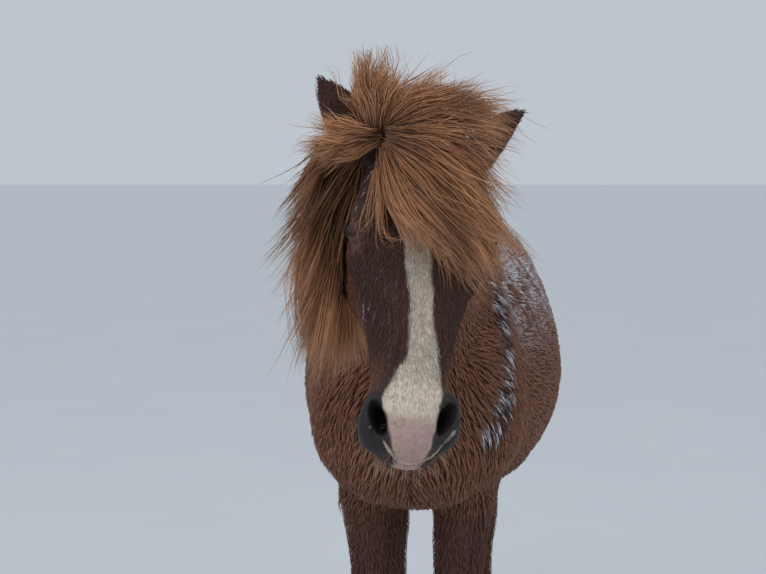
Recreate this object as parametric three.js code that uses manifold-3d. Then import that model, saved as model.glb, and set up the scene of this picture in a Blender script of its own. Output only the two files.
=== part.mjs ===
import * as THREE from 'three';
import { mergeVertices } from 'three/addons/utils/BufferGeometryUtils.js';
import Module from 'manifold-3d';

// Icelandic horse in its winter coat, standing square with its head held low and turned a little, its
// mane and forelock blown about. Millimetres, +Z up. The horse faces -Y, so +X is its left side.
// Every size is that of the outside of the coat.

// Driving dimensions of the body
const WITHERS_HEIGHT = 1388;
const BARREL_HALF_WIDTH = 298;
const HEAD_LENGTH = 560;
const KNEE_HEIGHT = 400;
const FETLOCK_HEIGHT = 176;
const EYE_RADIUS = 20;
const EAR_LENGTH = 150;

// The head hangs from the poll. Angles are in degrees
const POLL = new THREE.Vector3(31, -877, 1476);
const HEAD_PITCH = 33; // nose forward of the upright
const HEAD_ROLL = 8; // muzzle swung to the horse's right
const HEAD_YAW = 12; // nose turned to the horse's left

// The gap left by every cut between two pieces
const CUT = 0.5;

const FINISH = {
  coat: new THREE.MeshStandardMaterial({ color: 0x4f342a, roughness: 0.85, metalness: 0 }),
  face: new THREE.MeshStandardMaterial({ color: 0x3a2724, roughness: 0.8, metalness: 0 }),
  hair: new THREE.MeshStandardMaterial({ color: 0x7d5236, roughness: 0.7, metalness: 0 }),
  hoof: new THREE.MeshStandardMaterial({ color: 0x2f2a27, roughness: 0.5, metalness: 0 }),
  eye: new THREE.MeshStandardMaterial({ color: 0x120c0a, roughness: 0.08, metalness: 0 }),
};

const wasm = await Module();
wasm.setup();

const radians = THREE.MathUtils.degToRad;
const vector = (x, y, z) => new THREE.Vector3(x, y, z);

// A closed geometry as a solid, turned the right way out
function solid(geometry) {
  const bare = geometry.clone();
  bare.deleteAttribute('normal');
  bare.deleteAttribute('uv');
  const merged = mergeVertices(bare, 1e-3);
  const make = (triVerts) => new wasm.Manifold(new wasm.Mesh({
    numProp: 3,
    vertProperties: new Float32Array(merged.attributes.position.array),
    triVerts,
  }));
  const corners = new Uint32Array(merged.index.array);
  const made = make(corners);
  return made.volume() < 0 ? make(corners.reverse()) : made;
}

const join = (...solids) => solids.reduce((whole, next) => whole.add(next));
const largest = (cut) => cut.decompose().sort((a, b) => b.volume() - a.volume())[0];

// How the rings of a loft are spread: a few on each rounded end, the rest evenly
function ringSpread(count, startCap, endCap, steps) {
  const rings = [];
  for (let i = 0; i < steps; i++) {
    const angle = (i / steps) * Math.PI / 2;
    rings.push({ at: startCap * (1 - Math.cos(angle)), size: Math.sin(angle) });
  }
  for (let i = 0; i <= count; i++) {
    rings.push({ at: THREE.MathUtils.lerp(startCap, 1 - endCap, i / count), size: 1 });
  }
  for (let i = steps - 1; i >= 0; i--) {
    const angle = (i / steps) * Math.PI / 2;
    rings.push({ at: 1 - endCap * (1 - Math.cos(angle)), size: Math.sin(angle) });
  }
  return rings;
}

// A closed form through stations. Each station has a centre [x, y, z] and a ring round it: half its width,
// up and down from the centre along the ring's own upright, and a power for how square each half is
function loft(stations, { around = 20, along = 12, upright, caps = [0.08, 0.08], grow = 0 }) {
  const spine = new THREE.CatmullRomCurve3(stations.map((s) => vector(...s.at)), false, 'centripetal');
  const last = stations.length - 1;
  const track = (key, usual) => {
    const curve = new THREE.SplineCurve(
      stations.map((s, i) => new THREE.Vector2(i, s[key] ?? usual)),
    );
    return (t) => curve.getPoint(t).y;
  };
  const half = track('half');
  const up = track('up');
  const down = track('down');
  const upPower = track('upPower', 2);
  const downPower = track('downPower', 2);
  const rings = ringSpread(along, ...caps, around > 14 ? 3 : 2);
  const geometry = new THREE.SphereGeometry(1, around, rings.length - 1);
  const { position, uv } = geometry.attributes;
  for (let i = 0; i < position.count; i++) {
    const ring = rings[Math.round((1 - uv.getY(i)) * (rings.length - 1))];
    const t = spine.getUtoTmapping(ring.at);
    const ahead = spine.getTangent(t);
    const side = vector(0, 0, 0).crossVectors(ahead, upright).normalize();
    const above = vector(0, 0, 0).crossVectors(side, ahead).normalize();
    const angle = Math.round(uv.getX(i) * around) * 2 * Math.PI / around;
    const [c, s] = [Math.cos(angle), Math.sin(angle)];
    const power = 2 / (s >= 0 ? upPower(t) : downPower(t));
    const reach = (s >= 0 ? up(t) : down(t)) + grow;
    const point = spine.getPoint(t)
      .addScaledVector(side, ring.size * (half(t) + grow) * Math.sign(c) * Math.abs(c) ** power)
      .addScaledVector(above, ring.size * reach * Math.sign(s) * Math.abs(s) ** power);
    position.setXYZ(i, point.x, point.y, point.z);
  }
  return solid(geometry);
}

// An egg shape with its own sizes and turn
function egg(at, size, turn = [0, 0, 0], around = 16, grow = 0) {
  const place = new THREE.Matrix4().compose(
    vector(...at),
    new THREE.Quaternion().setFromEuler(new THREE.Euler(...turn.map(radians))),
    vector(...size).addScalar(grow),
  );
  return solid(new THREE.SphereGeometry(1, around, Math.round(around * 0.6)).applyMatrix4(place));
}

// A large block for cutting: everything on the far side of a plane through a point
function beyond(point, normal, setBack = 0) {
  const size = 3000;
  const facing = new THREE.Quaternion().setFromUnitVectors(vector(0, 0, 1), normal.clone().normalize());
  const centre = point.clone().addScaledVector(normal.clone().normalize(), size / 2 + setBack);
  const block = new THREE.BoxGeometry(size, size, size);
  return solid(block.applyMatrix4(new THREE.Matrix4().compose(centre, facing, vector(1, 1, 1))));
}

// Splits a solid in two with a thin cut: [the side that the normal points to, the other side]
function split(whole, point, normal) {
  const far = whole.intersect(beyond(point, normal, CUT / 2));
  const near = whole.subtract(beyond(point, normal, -CUT / 2));
  return [largest(far), largest(near)];
}

// The trunk, from breast to buttock, at distances along Y from the breast
function trunkStations() {
  // the barrel swings a little to the left of the line from breast to tail
  const bend = (y) => 9 * Math.sin(Math.PI * THREE.MathUtils.clamp((y + 400) / 1130, 0, 1));
  const at = (y, top, mid, bottom, half, upPower = 2, downPower = 2) => (
    { at: [bend(y), y, mid], up: top - mid, down: mid - bottom, half: half - bend(y), upPower, downPower });
  const top = WITHERS_HEIGHT;
  const wide = BARREL_HALF_WIDTH;
  return [
    at(-694, 1055, 975, 895, 78),
    at(-662, 1125, 975, 852, 128),
    at(-600, 1215, 972, 818, 172, 1.9, 2.1),
    at(-520, 1305, 962, 790, 198, 1.8, 2.2),
    at(-430, top - 20, 955, 768, 210, 1.7, 2.1),
    at(-335, top, 960, 752, 228, 1.65, 2),
    at(-215, top - 30, 970, 730, 262, 1.8, 2),
    at(-60, top - 60, 975, 708, 288, 1.9, 2),
    at(100, top - 64, 972, 700, wide, 1.95, 2),
    at(250, top - 48, 985, 716, wide - 4, 2, 2),
    at(390, top - 32, 1015, 765, wide - 22, 2.1, 2),
    at(520, top - 48, 1035, 840, wide - 36, 2.2, 2),
    at(640, top - 108, 1045, 900, wide - 76, 2.2, 2),
    at(732, top - 205, 1060, 955, wide - 160, 2.1, 2),
  ];
}

const UP = vector(0, 0, 1);
const FORWARD = vector(0, -1, 0);

function makeTrunk(grow = 0) {
  const barrel = loft(trunkStations(), { around: 24, along: 19, upright: UP, caps: [0.035, 0.035], grow });
  const sides = [-1, 1].flatMap((side) => [
    // the shoulder blade with its muscles, and the upper arm below it
    loft([
      { at: [side * 72, -335, 1270], half: 60, up: 40, down: 30 },
      { at: [side * 118, -400, 1160], half: 92, up: 52, down: 60 },
      { at: [side * 138, -475, 1040], half: 105, up: 56, down: 70 },
      { at: [side * 126, -545, 940], half: 85, up: 48, down: 70 },
    ], { around: 12, along: 5, upright: vector(side, 0, 0.2), caps: [0.25, 0.2], grow }),
    loft([
      { at: [side * 135, -560, 960], half: 70, up: 40, down: 60 },
      { at: [side * 130, -490, 900], half: 80, up: 42, down: 60 },
      { at: [side * 114, -400, 860], half: 72, up: 42, down: 50 },
    ], { around: 12, along: 3, upright: vector(side, 0, 0), caps: [0.25, 0.25], grow }),
    // the breast muscle that rounds down to the foreleg
    egg([side * 62, -600, 905], [72, 66, 100], [18, 0, 0], 14, grow),
    // the haunch, and the quarter behind it
    egg([side * 148, 400, 1085], [100, 185, 175], [-12, 0, 0], 16, grow),
    egg([side * 108, 606, 1040], [96, 122, 165], [10, 0, 0], 16, grow),
  ]);
  return join(barrel, ...sides);
}

// The neck, from inside the trunk to inside the head
function makeNeck(grow = 0) {
  return loft([
    { at: [0, -330, 1120], up: 250, down: 240, half: 150, upPower: 1.6 },
    { at: [0, -470, 1160], up: 218, down: 240, half: 140, upPower: 1.6 },
    { at: [6, -590, 1212], up: 188, down: 205, half: 118, upPower: 1.7 },
    { at: [16, -690, 1262], up: 168, down: 168, half: 100, upPower: 1.8 },
    { at: [28, -780, 1312], up: 152, down: 140, half: 90, upPower: 1.9 },
    { at: [36, -860, 1358], up: 120, down: 118, half: 82, upPower: 2 },
    { at: [40, -920, 1380], up: 80, down: 90, half: 66, upPower: 2 },
  ], { around: 20, along: 10, upright: UP, caps: [0.1, 0.08], grow });
}

// The head's own frame: the poll at the origin, the length of the head along -Z and the face towards -Y
const headTurn = new THREE.Matrix4().compose(
  POLL,
  new THREE.Quaternion().setFromEuler(
    new THREE.Euler(radians(-HEAD_PITCH), radians(HEAD_ROLL), radians(HEAD_YAW), 'ZYX'),
  ),
  vector(1, 1, 1),
);
const onHead = (headSolid) => headSolid.transform(headTurn.toArray());
const headPoint = (x, y, z) => vector(x, y, z).applyMatrix4(headTurn);
const headDirection = (x, y, z) => vector(x, y, z).transformDirection(headTurn);

// One ring of the head: how far down from the poll, how far the face is in front of the head's line and
// the underside behind it, and half the width
const headRing = (down, face, under, half, upPower = 2, downPower = 2, mid = 0) => (
  { at: [0, mid, -down * HEAD_LENGTH], up: face + mid, down: under - mid, half, upPower, downPower });

const EYE = { x: 87, y: -36, z: -0.39 * HEAD_LENGTH };

// How far down the head each nostril is: the muzzle is tilted, so the right one is the lower
const nostrilDown = (side) => (0.917 * HEAD_LENGTH) - side * 5;

function makeHead(grow = 0) {
  const skull = loft([
    headRing(0.0, 12, 60, 48, 2, 2, 20),
    headRing(0.08, 52, 66, 74, 2.2),
    headRing(0.19, 80, 70, 86, 2.3),
    headRing(0.3, 90, 64, 97, 2.3),
    headRing(0.38, 88, 58, 97, 2.3),
    headRing(0.46, 80, 50, 89, 2.3),
    headRing(0.56, 69, 44, 77, 2.4),
    headRing(0.68, 60, 40, 63, 2.5),
    headRing(0.79, 55, 40, 55, 2.5),
    headRing(0.87, 55, 44, 60, 2.5, 2.4),
    headRing(0.94, 50, 44, 59, 2.4, 2.4),
    headRing(0.995, 26, 30, 44, 2.3, 2.3, 6),
  ], { around: 24, along: 21, upright: FORWARD, caps: [0.05, 0.035], grow });
  const jaw = loft([
    headRing(0.17, 0, 118, 54, 2, 2, 60),
    headRing(0.26, 0, 142, 76, 2, 2, 60),
    headRing(0.37, 0, 158, 88, 2, 1.8, 62),
    headRing(0.46, 0, 148, 84, 2, 1.8, 58),
    headRing(0.56, 0, 118, 68, 2, 1.9, 48),
    headRing(0.68, 0, 90, 50, 2, 2, 38),
    headRing(0.79, 0, 74, 39, 2, 2.1, 34),
    headRing(0.88, 0, 76, 43, 2, 2.2, 34),
    headRing(0.955, 0, 62, 40, 2, 2.2, 30),
  ], { around: 18, along: 14, upright: FORWARD, caps: [0.1, 0.06], grow });
  const sides = [-1, 1].flatMap((side) => [
    // the brow over the eye, the bone below it, and the crest that runs forward from there
    egg([side * 70, -52, EYE.z + 12], [32, 36, 58], [8, 0, 0], 14, grow),
    egg([side * 70, -8, EYE.z - 22], [33, 36, 62], [-8, 0, 0], 14, grow),
    loft([
      { at: [side * 82, -6, EYE.z + 10], half: 18, up: 16, down: 20 },
      { at: [side * 70, -8, EYE.z - 80], half: 15, up: 13, down: 16 },
      { at: [side * 54, -12, EYE.z - 150], half: 12, up: 9, down: 14 },
    ], { around: 10, along: 3, upright: vector(side, 0, 0), caps: [0.2, 0.2], grow }),
    // the flat round of the cheek
    egg([side * 60, 64, -0.36 * HEAD_LENGTH], [36, 72, 96], [14, 0, 0], 14, grow),
    // the flared rim of the nostril
    loft([
      { at: [side * 38, -46, 46 - nostrilDown(side)], half: 15, up: 13, down: 14 },
      { at: [side * 56, -34, 20 - nostrilDown(side)], half: 19, up: 13, down: 16 },
      { at: [side * 59, -14, -12 - nostrilDown(side)], half: 19, up: 12, down: 18 },
      { at: [side * 40, -10, -34 - nostrilDown(side)], half: 17, up: 12, down: 18 },
    ], { around: 12, along: 5, upright: vector(side, 0, 0), caps: [0.2, 0.2], grow }),
  ]);
  // the upper lip, round and full
  const lip = egg([0, -8, -0.955 * HEAD_LENGTH], [50, 42, 36], [0, 0, 0], 16, grow);
  const whole = join(skull, jaw, lip, ...sides);
  // each nostril goes in from the front as a comma that is wide above and narrow below
  const openings = [-1, 1].map((side) => loft([
    { at: [side * 53, -92, 1 - nostrilDown(side)], half: 12, up: 28, down: 30 },
    { at: [side * 50, -46, 1 - nostrilDown(side)], half: 11, up: 26, down: 28 },
    { at: [side * 39, -18, 9 - nostrilDown(side)], half: 9, up: 19, down: 20 },
    { at: [side * 25, 6, 25 - nostrilDown(side)], half: 8, up: 13, down: 13 },
  ], { around: 14, along: 6, upright: vector(side * 0.3, 0, 1), caps: [0.02, 0.1] }));
  return grow ? whole : openings.reduce((rest, hole) => rest.subtract(hole), whole);
}

// A pricked ear: a pointed leaf, hollowed from its open side. It stands on its base along +Z, open to -Y
function makeEar(grow = 0) {
  const leaf = (shrink, forward, from) => loft([
    { at: [0, forward, from], half: 19 - shrink, up: 15 - shrink, down: 20 - shrink },
    { at: [0, forward, 0.18 * EAR_LENGTH], half: 30 - shrink, up: 17 - shrink, down: 22 - shrink },
    { at: [0, forward + 1, 0.45 * EAR_LENGTH], half: 37 - shrink, up: 14 - shrink / 2, down: 20 - shrink },
    { at: [0, forward - 2, 0.72 * EAR_LENGTH], half: 29 - shrink, up: 9 - shrink / 2, down: 14 - shrink },
    { at: [0, forward - 8, 0.93 * EAR_LENGTH], half: 13 - shrink / 2, up: 5, down: 7 - shrink / 2 },
    { at: [0, forward - 12, EAR_LENGTH], half: 5, up: 4, down: 4 },
  ], { around: 14, along: 8, upright: FORWARD, caps: [0.04, 0.02], grow });
  const outer = leaf(0, 0, -20);
  if (grow) return outer;
  const bowl = leaf(7, -15, 14).intersect(beyond(vector(0, 0, 0.86 * EAR_LENGTH), vector(0, 0, -1)));
  return largest(outer.subtract(bowl));
}

// Where each ear stands on the head, where it points and where it is open to: the right one stands up,
// the left one is turned out and back
const EARS = {
  right: { at: headPoint(-72, 12, -60), points: vector(-0.5, -0.12, 0.83), opens: vector(-0.25, -1, 0) },
  left: { at: headPoint(72, 12, -60), points: vector(0.62, 0.4, 0.7), opens: vector(1, -0.5, 0) },
};

function earPlace({ at, points, opens }) {
  const along = points.clone().normalize();
  const across = vector(0, 0, 0).crossVectors(along, opens).normalize();
  const back = vector(0, 0, 0).crossVectors(along, across);
  return new THREE.Matrix4().makeBasis(across, back, along).setPosition(at);
}

// A foreleg from inside the shoulder to inside the hoof. ahead moves the whole leg forward
function makeForeleg(side, ahead) {
  const at = (z, x, y, half, front, back) => (
    { at: [side * x, y - ahead * (z < 700 ? 1 - z / 1400 : 0.5), z], half, up: front, down: back });
  const knee = KNEE_HEIGHT;
  const fetlock = FETLOCK_HEIGHT;
  return loft([
    at(990, 112, -450, 82, 98, 105),
    at(880, 100, -432, 66, 90, 104),
    at(790, 92, -424, 62, 80, 94),
    at(700, 83, -426, 53, 68, 70),
    at(600, 80, -428, 47, 57, 56),
    at(500, 80, -430, 42, 48, 49),
    at(knee + 38, 82, -433, 45, 48, 47),
    at(knee, 83, -435, 47, 50, 46),
    at(knee - 45, 84, -430, 41, 43, 45),
    at(knee - 95, 84, -426, 34, 35, 43),
    at(knee - 160, 85, -424, 33, 34, 44),
    at(fetlock + 30, 86, -424, 39, 39, 51),
    at(fetlock, 86, -429, 42, 44, 57),
    at(fetlock - 36, 87, -442, 40, 41, 54),
    at(fetlock - 70, 88, -458, 43, 43, 50),
    at(82, 88, -468, 50, 50, 50),
    at(50, 88, -474, 52, 54, 46),
  ], { around: 12, along: 24, upright: FORWARD, caps: [0.06, 0.01] });
}

// A hind leg from inside the quarter to inside the hoof. wide stands its foot further out
function makeHindleg(side, ahead, wide) {
  const out = (z) => wide * THREE.MathUtils.clamp((880 - z) / 360, 0, 1);
  const at = (z, x, y, half, front, back) => (
    { at: [side * (x + out(z)), y - ahead * Math.max(0, 1 - z / 1000), z], half, up: front, down: back });
  const fetlock = FETLOCK_HEIGHT + 4;
  return loft([
    at(1130, 128, 500, 104, 160, 165),
    at(1020, 140, 505, 104, 172, 195),
    at(920, 143, 512, 98, 166, 196),
    at(830, 140, 522, 86, 148, 172),
    at(750, 131, 552, 70, 124, 126),
    at(675, 121, 596, 56, 96, 96),
    at(605, 112, 640, 47, 72, 82),
    at(555, 108, 668, 43, 60, 82),
    at(510, 105, 690, 46, 60, 72),
    at(460, 103, 702, 44, 54, 52),
    at(400, 102, 708, 36, 42, 44),
    at(310, 101, 712, 34, 37, 43),
    at(fetlock + 40, 101, 712, 37, 40, 48),
    at(fetlock, 101, 708, 42, 45, 58),
    at(fetlock - 36, 101, 695, 40, 41, 54),
    at(fetlock - 72, 101, 677, 42, 42, 48),
    at(82, 101, 666, 49, 49, 49),
    at(50, 101, 660, 51, 53, 45),
  ], { around: 12, along: 26, upright: FORWARD, caps: [0.06, 0.01] });
}

// A hoof stands flat on the floor: rings that widen from the coronet, sheared forward at the toe
function makeHoof(x, y) {
  const height = 92;
  const geometry = new THREE.CylinderGeometry(1, 1, height, 20, 3).rotateX(Math.PI / 2);
  const { position } = geometry.attributes;
  for (let i = 0; i < position.count; i++) {
    const z = position.getZ(i) + height / 2;
    const share = 1 - z / height;
    const front = position.getY(i) < 0;
    const wide = 47 + 13 * share;
    const long = front ? 44 + 28 * share : 44 + 8 * share;
    position.setXYZ(i, x + position.getX(i) * wide, y + position.getY(i) * long, z);
  }
  return solid(geometry);
}

// The top of a hoof slopes from the toe down to the heel
const coronetCut = (y) => ({ point: vector(0, y, 66), normal: vector(0, -0.28, 1) });

// The tail: long and thick, hanging from the dock almost to the fetlocks
function makeTail() {
  return loft([
    { at: [0, 628, 1232], half: 36, up: 30, down: 30 },
    { at: [0, 712, 1196], half: 46, up: 38, down: 36 },
    { at: [8, 774, 1100], half: 60, up: 46, down: 46 },
    { at: [20, 806, 940], half: 72, up: 54, down: 60 },
    { at: [32, 818, 760], half: 76, up: 62, down: 70 },
    { at: [38, 822, 560], half: 72, up: 64, down: 72 },
    { at: [38, 818, 360], half: 60, up: 54, down: 60 },
    { at: [36, 814, 200], half: 36, up: 32, down: 36 },
  ], { around: 16, along: 14, upright: FORWARD, caps: [0.03, 0.05] });
}

// The mane blown off the right side of the neck: a thick curtain from behind the ear to the shoulder
function makeManeRight(grow = 0) {
  return loft([
    { at: [-62, -915, 1385], half: 50, up: 78, down: 130 },
    { at: [-106, -865, 1310], half: 70, up: 165, down: 190 },
    { at: [-116, -785, 1275], half: 66, up: 175, down: 195 },
    { at: [-112, -680, 1250], half: 52, up: 170, down: 180 },
    { at: [-106, -570, 1225], half: 42, up: 165, down: 160 },
    { at: [-98, -470, 1230], half: 34, up: 150, down: 110 },
    { at: [-60, -385, 1300], half: 26, up: 80, down: 60 },
  ], { around: 16, along: 11, upright: vector(0.26, 0, 1), caps: [0.08, 0.08], grow });
}

// The thinner fall of the mane on the left side, with the ridge of roots that stands along the crest
function makeManeLeft(grow = 0) {
  const ridge = loft([
    { at: [2, -362, 1384], half: 26, up: 14, down: 30 },
    { at: [6, -560, 1398], half: 48, up: 24, down: 60 },
    { at: [20, -715, 1438], half: 64, up: 28, down: 70 },
    { at: [32, -845, 1482], half: 70, up: 30, down: 70 },
  ], { around: 12, along: 6, upright: UP, caps: [0.1, 0.1], grow });
  const fall = loft([
    { at: [62, -880, 1440], half: 46, up: 72, down: 110 },
    { at: [74, -800, 1395], half: 44, up: 92, down: 130 },
    { at: [76, -690, 1345], half: 40, up: 108, down: 130 },
    { at: [78, -580, 1310], half: 38, up: 110, down: 115 },
    { at: [76, -470, 1310], half: 32, up: 86, down: 90 },
    { at: [50, -380, 1345], half: 24, up: 46, down: 50 },
  ], { around: 14, along: 10, upright: vector(-0.45, 0, 1), caps: [0.08, 0.08], grow });
  return join(ridge, fall);
}

// The forelock: a standing shock between the ears, and a long sweep across the left of the face
function makeForelock(grow = 0) {
  const shock = loft([
    { at: [42, -832, 1488], half: 92, up: 58, down: 30 },
    { at: [42, -885, 1512], half: 112, up: 72, down: 40 },
    { at: [44, -945, 1500], half: 102, up: 62, down: 50 },
    { at: [48, -985, 1465], half: 74, up: 42, down: 46 },
  ], { around: 18, along: 6, upright: vector(0, 0, 1), caps: [0.2, 0.2], grow });
  const sweep = loft([
    { at: [48, -935, 1505], half: 84, up: 36, down: 60 },
    { at: [76, -990, 1445], half: 84, up: 34, down: 60 },
    { at: [94, -1020, 1385], half: 70, up: 34, down: 50 },
    { at: [114, -1030, 1320], half: 56, up: 30, down: 44 },
    { at: [136, -1020, 1252], half: 34, up: 20, down: 30 },
  ], { around: 16, along: 9, upright: vector(0.35, -1, 0), caps: [0.1, 0.08], grow });
  return join(shock, sweep);
}

// Where the planes between the named pieces lie
const CUTS = {
  nape: { point: vector(0, -836, 1350), normal: vector(-0.1, -1, 0.05) },
  shoulder: { point: vector(0, -520, 1210), normal: vector(0, -1, 1) },
  elbow: { point: vector(0, -430, 748), normal: vector(0, 0.06, -1) },
  stifle: { point: vector(0, 520, 752), normal: vector(0, 0.12, -1) },
  mouth: { point: headPoint(0, 12, -0.96 * HEAD_LENGTH), normal: headDirection(0, 1, -0.2) },
};

const parts = [];

function keep(name, finish, piece) {
  const mesh = largest(piece).getMesh();
  const geometry = new THREE.BufferGeometry();
  const corners = new Float32Array(mesh.vertProperties);
  geometry.setAttribute('position', new THREE.BufferAttribute(corners, 3));
  geometry.setIndex(new THREE.BufferAttribute(new Uint32Array(mesh.triVerts), 1));
  geometry.computeBoundingBox();
  const centre = geometry.boundingBox.getCenter(vector(0, 0, 0)).round();
  geometry.translate(-centre.x, -centre.y, -centre.z);
  const placed = new THREE.Mesh(geometry, finish);
  placed.name = name;
  placed.position.copy(centre);
  parts.push(placed);
}

// Cuts one leg across at each height, and keeps its lengths by name
function keepLeg(name, leg, lengths, hoofAt) {
  let rest = leg;
  for (const [length, point, normal] of lengths) {
    const [below, above] = split(rest, point, normal);
    keep(name + '_' + length, FINISH.coat, above);
    rest = below;
  }
  const coronet = vector(0, hoofAt.y, 68);
  const slope = vector(0, 0.26, -1);
  const [, pastern] = split(rest, coronet, slope);
  keep(name + '_pastern', FINISH.coat, pastern);
  const hoof = makeHoof(hoofAt.x, hoofAt.y);
  keep(name + '_hoof', FINISH.hoof, hoof.intersect(beyond(coronet, slope, CUT / 2)));
}

// How far ahead each foot stands, and how far out the right hind foot does
const STANCE = { foreRight: 0, foreLeft: 26, hindRight: 52, hindLeft: 0, wide: 30 };

function build() {
  const eyes = [-1, 1].map((side) => headPoint(side * EYE.x, EYE.y, EYE.z).toArray());
  const eyeball = (at, radius) => egg(at, [radius, radius, radius], [0, 0, 0], 20);
  const sockets = eyes.map((at) => eyeball(at, EYE_RADIUS + CUT));
  const legs = [
    ['foreleg_right', makeForeleg(-1, STANCE.foreRight), CUTS.elbow],
    ['foreleg_left', makeForeleg(1, STANCE.foreLeft), CUTS.elbow],
    ['hindleg_right', makeHindleg(-1, STANCE.hindRight, STANCE.wide), CUTS.stifle],
    ['hindleg_left', makeHindleg(1, STANCE.hindLeft, 0), CUTS.stifle],
  ];

  // the whole of the flesh in one, then parted at the planes
  const uppers = legs.map(([, leg, cut]) => leg.subtract(beyond(cut.point, cut.normal)));
  const whole = join(makeTrunk(), makeNeck(), onHead(makeHead()), ...uppers);
  const [front, behind] = split(whole.subtract(join(...sockets)), CUTS.nape.point, CUTS.nape.normal);
  const [neck, trunk] = split(behind, CUTS.shoulder.point, CUTS.shoulder.normal);
  const [jaw, head] = split(front, CUTS.mouth.point, CUTS.mouth.normal);
  keep('trunk', FINISH.coat, trunk);
  keep('neck', FINISH.coat, neck);
  keep('head', FINISH.face, head);
  keep('lower_jaw', FINISH.face, jaw);
  keep('eye_right', FINISH.eye, eyeball(eyes[0], EYE_RADIUS));
  keep('eye_left', FINISH.eye, eyeball(eyes[1], EYE_RADIUS));

  // ears and hair stop just short of the flesh and of each other
  const flesh = join(makeTrunk(CUT), makeNeck(CUT), onHead(makeHead(CUT)), ...sockets);
  const ears = Object.entries(EARS).map(([side, ear]) => {
    const place = (part) => part.transform(earPlace(ear).toArray());
    keep('ear_' + side, FINISH.face, place(makeEar()).subtract(flesh));
    return place(makeEar(CUT));
  });
  const forelock = makeForelock().subtract(flesh).subtract(join(...ears));
  keep('forelock', FINISH.hair, forelock);
  const taken = join(flesh, makeForelock(CUT), ...ears);
  keep('mane_left', FINISH.hair, makeManeLeft().subtract(taken));
  keep('mane_right', FINISH.hair, makeManeRight().subtract(join(taken, makeManeLeft(CUT))));
  keep('tail', FINISH.hair, makeTail().subtract(flesh));

  const foreCuts = (hoofY) => [
    ['forearm', vector(0, hoofY, KNEE_HEIGHT + 6), vector(0, 0, -1)],
    ['cannon', vector(0, hoofY, FETLOCK_HEIGHT), vector(0, 0.25, -1)],
  ];
  const hindCuts = (hoofY) => [
    ['gaskin', vector(0, hoofY, 508), vector(0, -0.2, -1)],
    ['cannon', vector(0, hoofY, FETLOCK_HEIGHT + 4), vector(0, 0.25, -1)],
  ];
  const stands = [
    [{ x: -88, y: -478 - STANCE.foreRight }, foreCuts],
    [{ x: 88, y: -478 - STANCE.foreLeft }, foreCuts],
    [{ x: -101 - STANCE.wide, y: 656 - STANCE.hindRight }, hindCuts],
    [{ x: 101, y: 656 - STANCE.hindLeft }, hindCuts],
  ];
  legs.forEach(([name, leg, cut], i) => {
    const [hoofAt, cuts] = stands[i];
    const below = leg.intersect(beyond(cut.point, cut.normal, CUT));
    keepLeg(name, below, cuts(hoofAt.y), hoofAt);
  });
}

build();

// Stands the horse over the origin, with its soles on the floor
const horse = new THREE.Group();
horse.add(...parts);
const box = new THREE.Box3().setFromObject(horse, true);
const middle = box.getCenter(vector(0, 0, 0));
horse.position.set(-middle.x, -middle.y, -box.min.z);
horse.name = 'icelandic_horse';

export default horse;
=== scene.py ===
import math
import bmesh
import bpy
import numpy as np
from mathutils import Euler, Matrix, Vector
from mathutils.bvhtree import BVHTree


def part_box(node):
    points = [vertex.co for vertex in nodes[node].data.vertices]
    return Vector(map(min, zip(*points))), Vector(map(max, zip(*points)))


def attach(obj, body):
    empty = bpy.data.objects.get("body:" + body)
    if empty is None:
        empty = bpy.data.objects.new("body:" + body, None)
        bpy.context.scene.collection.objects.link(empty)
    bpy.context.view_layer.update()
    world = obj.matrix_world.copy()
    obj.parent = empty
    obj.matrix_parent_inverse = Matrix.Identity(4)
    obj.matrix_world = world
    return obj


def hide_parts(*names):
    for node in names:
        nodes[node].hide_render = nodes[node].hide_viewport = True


# An Icelandic horse in its winter coat: a skin over the frame's flesh, a coat of tufts, long blown hair,
# eyes with lids, and horn hooves. Metres, +Z up, and the horse faces -Y.

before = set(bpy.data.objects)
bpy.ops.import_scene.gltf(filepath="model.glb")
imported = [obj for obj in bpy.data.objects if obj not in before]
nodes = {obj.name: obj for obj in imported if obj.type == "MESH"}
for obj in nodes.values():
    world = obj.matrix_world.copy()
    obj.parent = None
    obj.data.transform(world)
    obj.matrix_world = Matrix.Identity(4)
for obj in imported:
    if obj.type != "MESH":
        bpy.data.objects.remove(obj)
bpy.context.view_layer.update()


# Places on the body

headPose = {
    "poll": (0.031, -0.877, 1.476),  # before the whole horse is centred over the origin
    "turn": (-33, 8, 12),  # nose forward, muzzle to the horse's right, nose to its left
    "eye": (0.087, -0.036, -0.2184),
    "nostril": (0.050, -0.045, -0.5145),
    "mouth": (0.012, 0.5376),  # how far under the head's line, and how far down, the lips meet
    "mouthSlope": 0.2,
}
headTurn = np.array(Euler([math.radians(a) for a in headPose["turn"]], "XYZ").to_matrix())
eyeBox = [np.array(corner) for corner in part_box("eye_right")]
eyeInHead = np.array(headPose["eye"]) * (-1, 1, 1)
centring = (eyeBox[0] + eyeBox[1]) / 2 - (np.array(headPose["poll"]) + headTurn @ eyeInHead)
pollAt = np.array(headPose["poll"]) + centring


def toHead(points):
    return (points - pollAt) @ headTurn


def fromHead(points):
    return np.asarray(points) @ headTurn.T + pollAt


def smooth(low, high, value):
    share = np.clip((value - low) / (high - low), 0, 1)
    return share * share * (3 - 2 * share)


def hump(value, middle, wide):
    # 1 in the middle, and next to nothing two widths away
    return np.exp(-((value - middle) / wide) ** 2)


def unit(vectors):
    return vectors / np.maximum(np.linalg.norm(vectors, axis=-1, keepdims=True), 1e-9)


latticeSize = 64
lattice = np.random.RandomState(11).rand(latticeSize, latticeSize, latticeSize)


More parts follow.
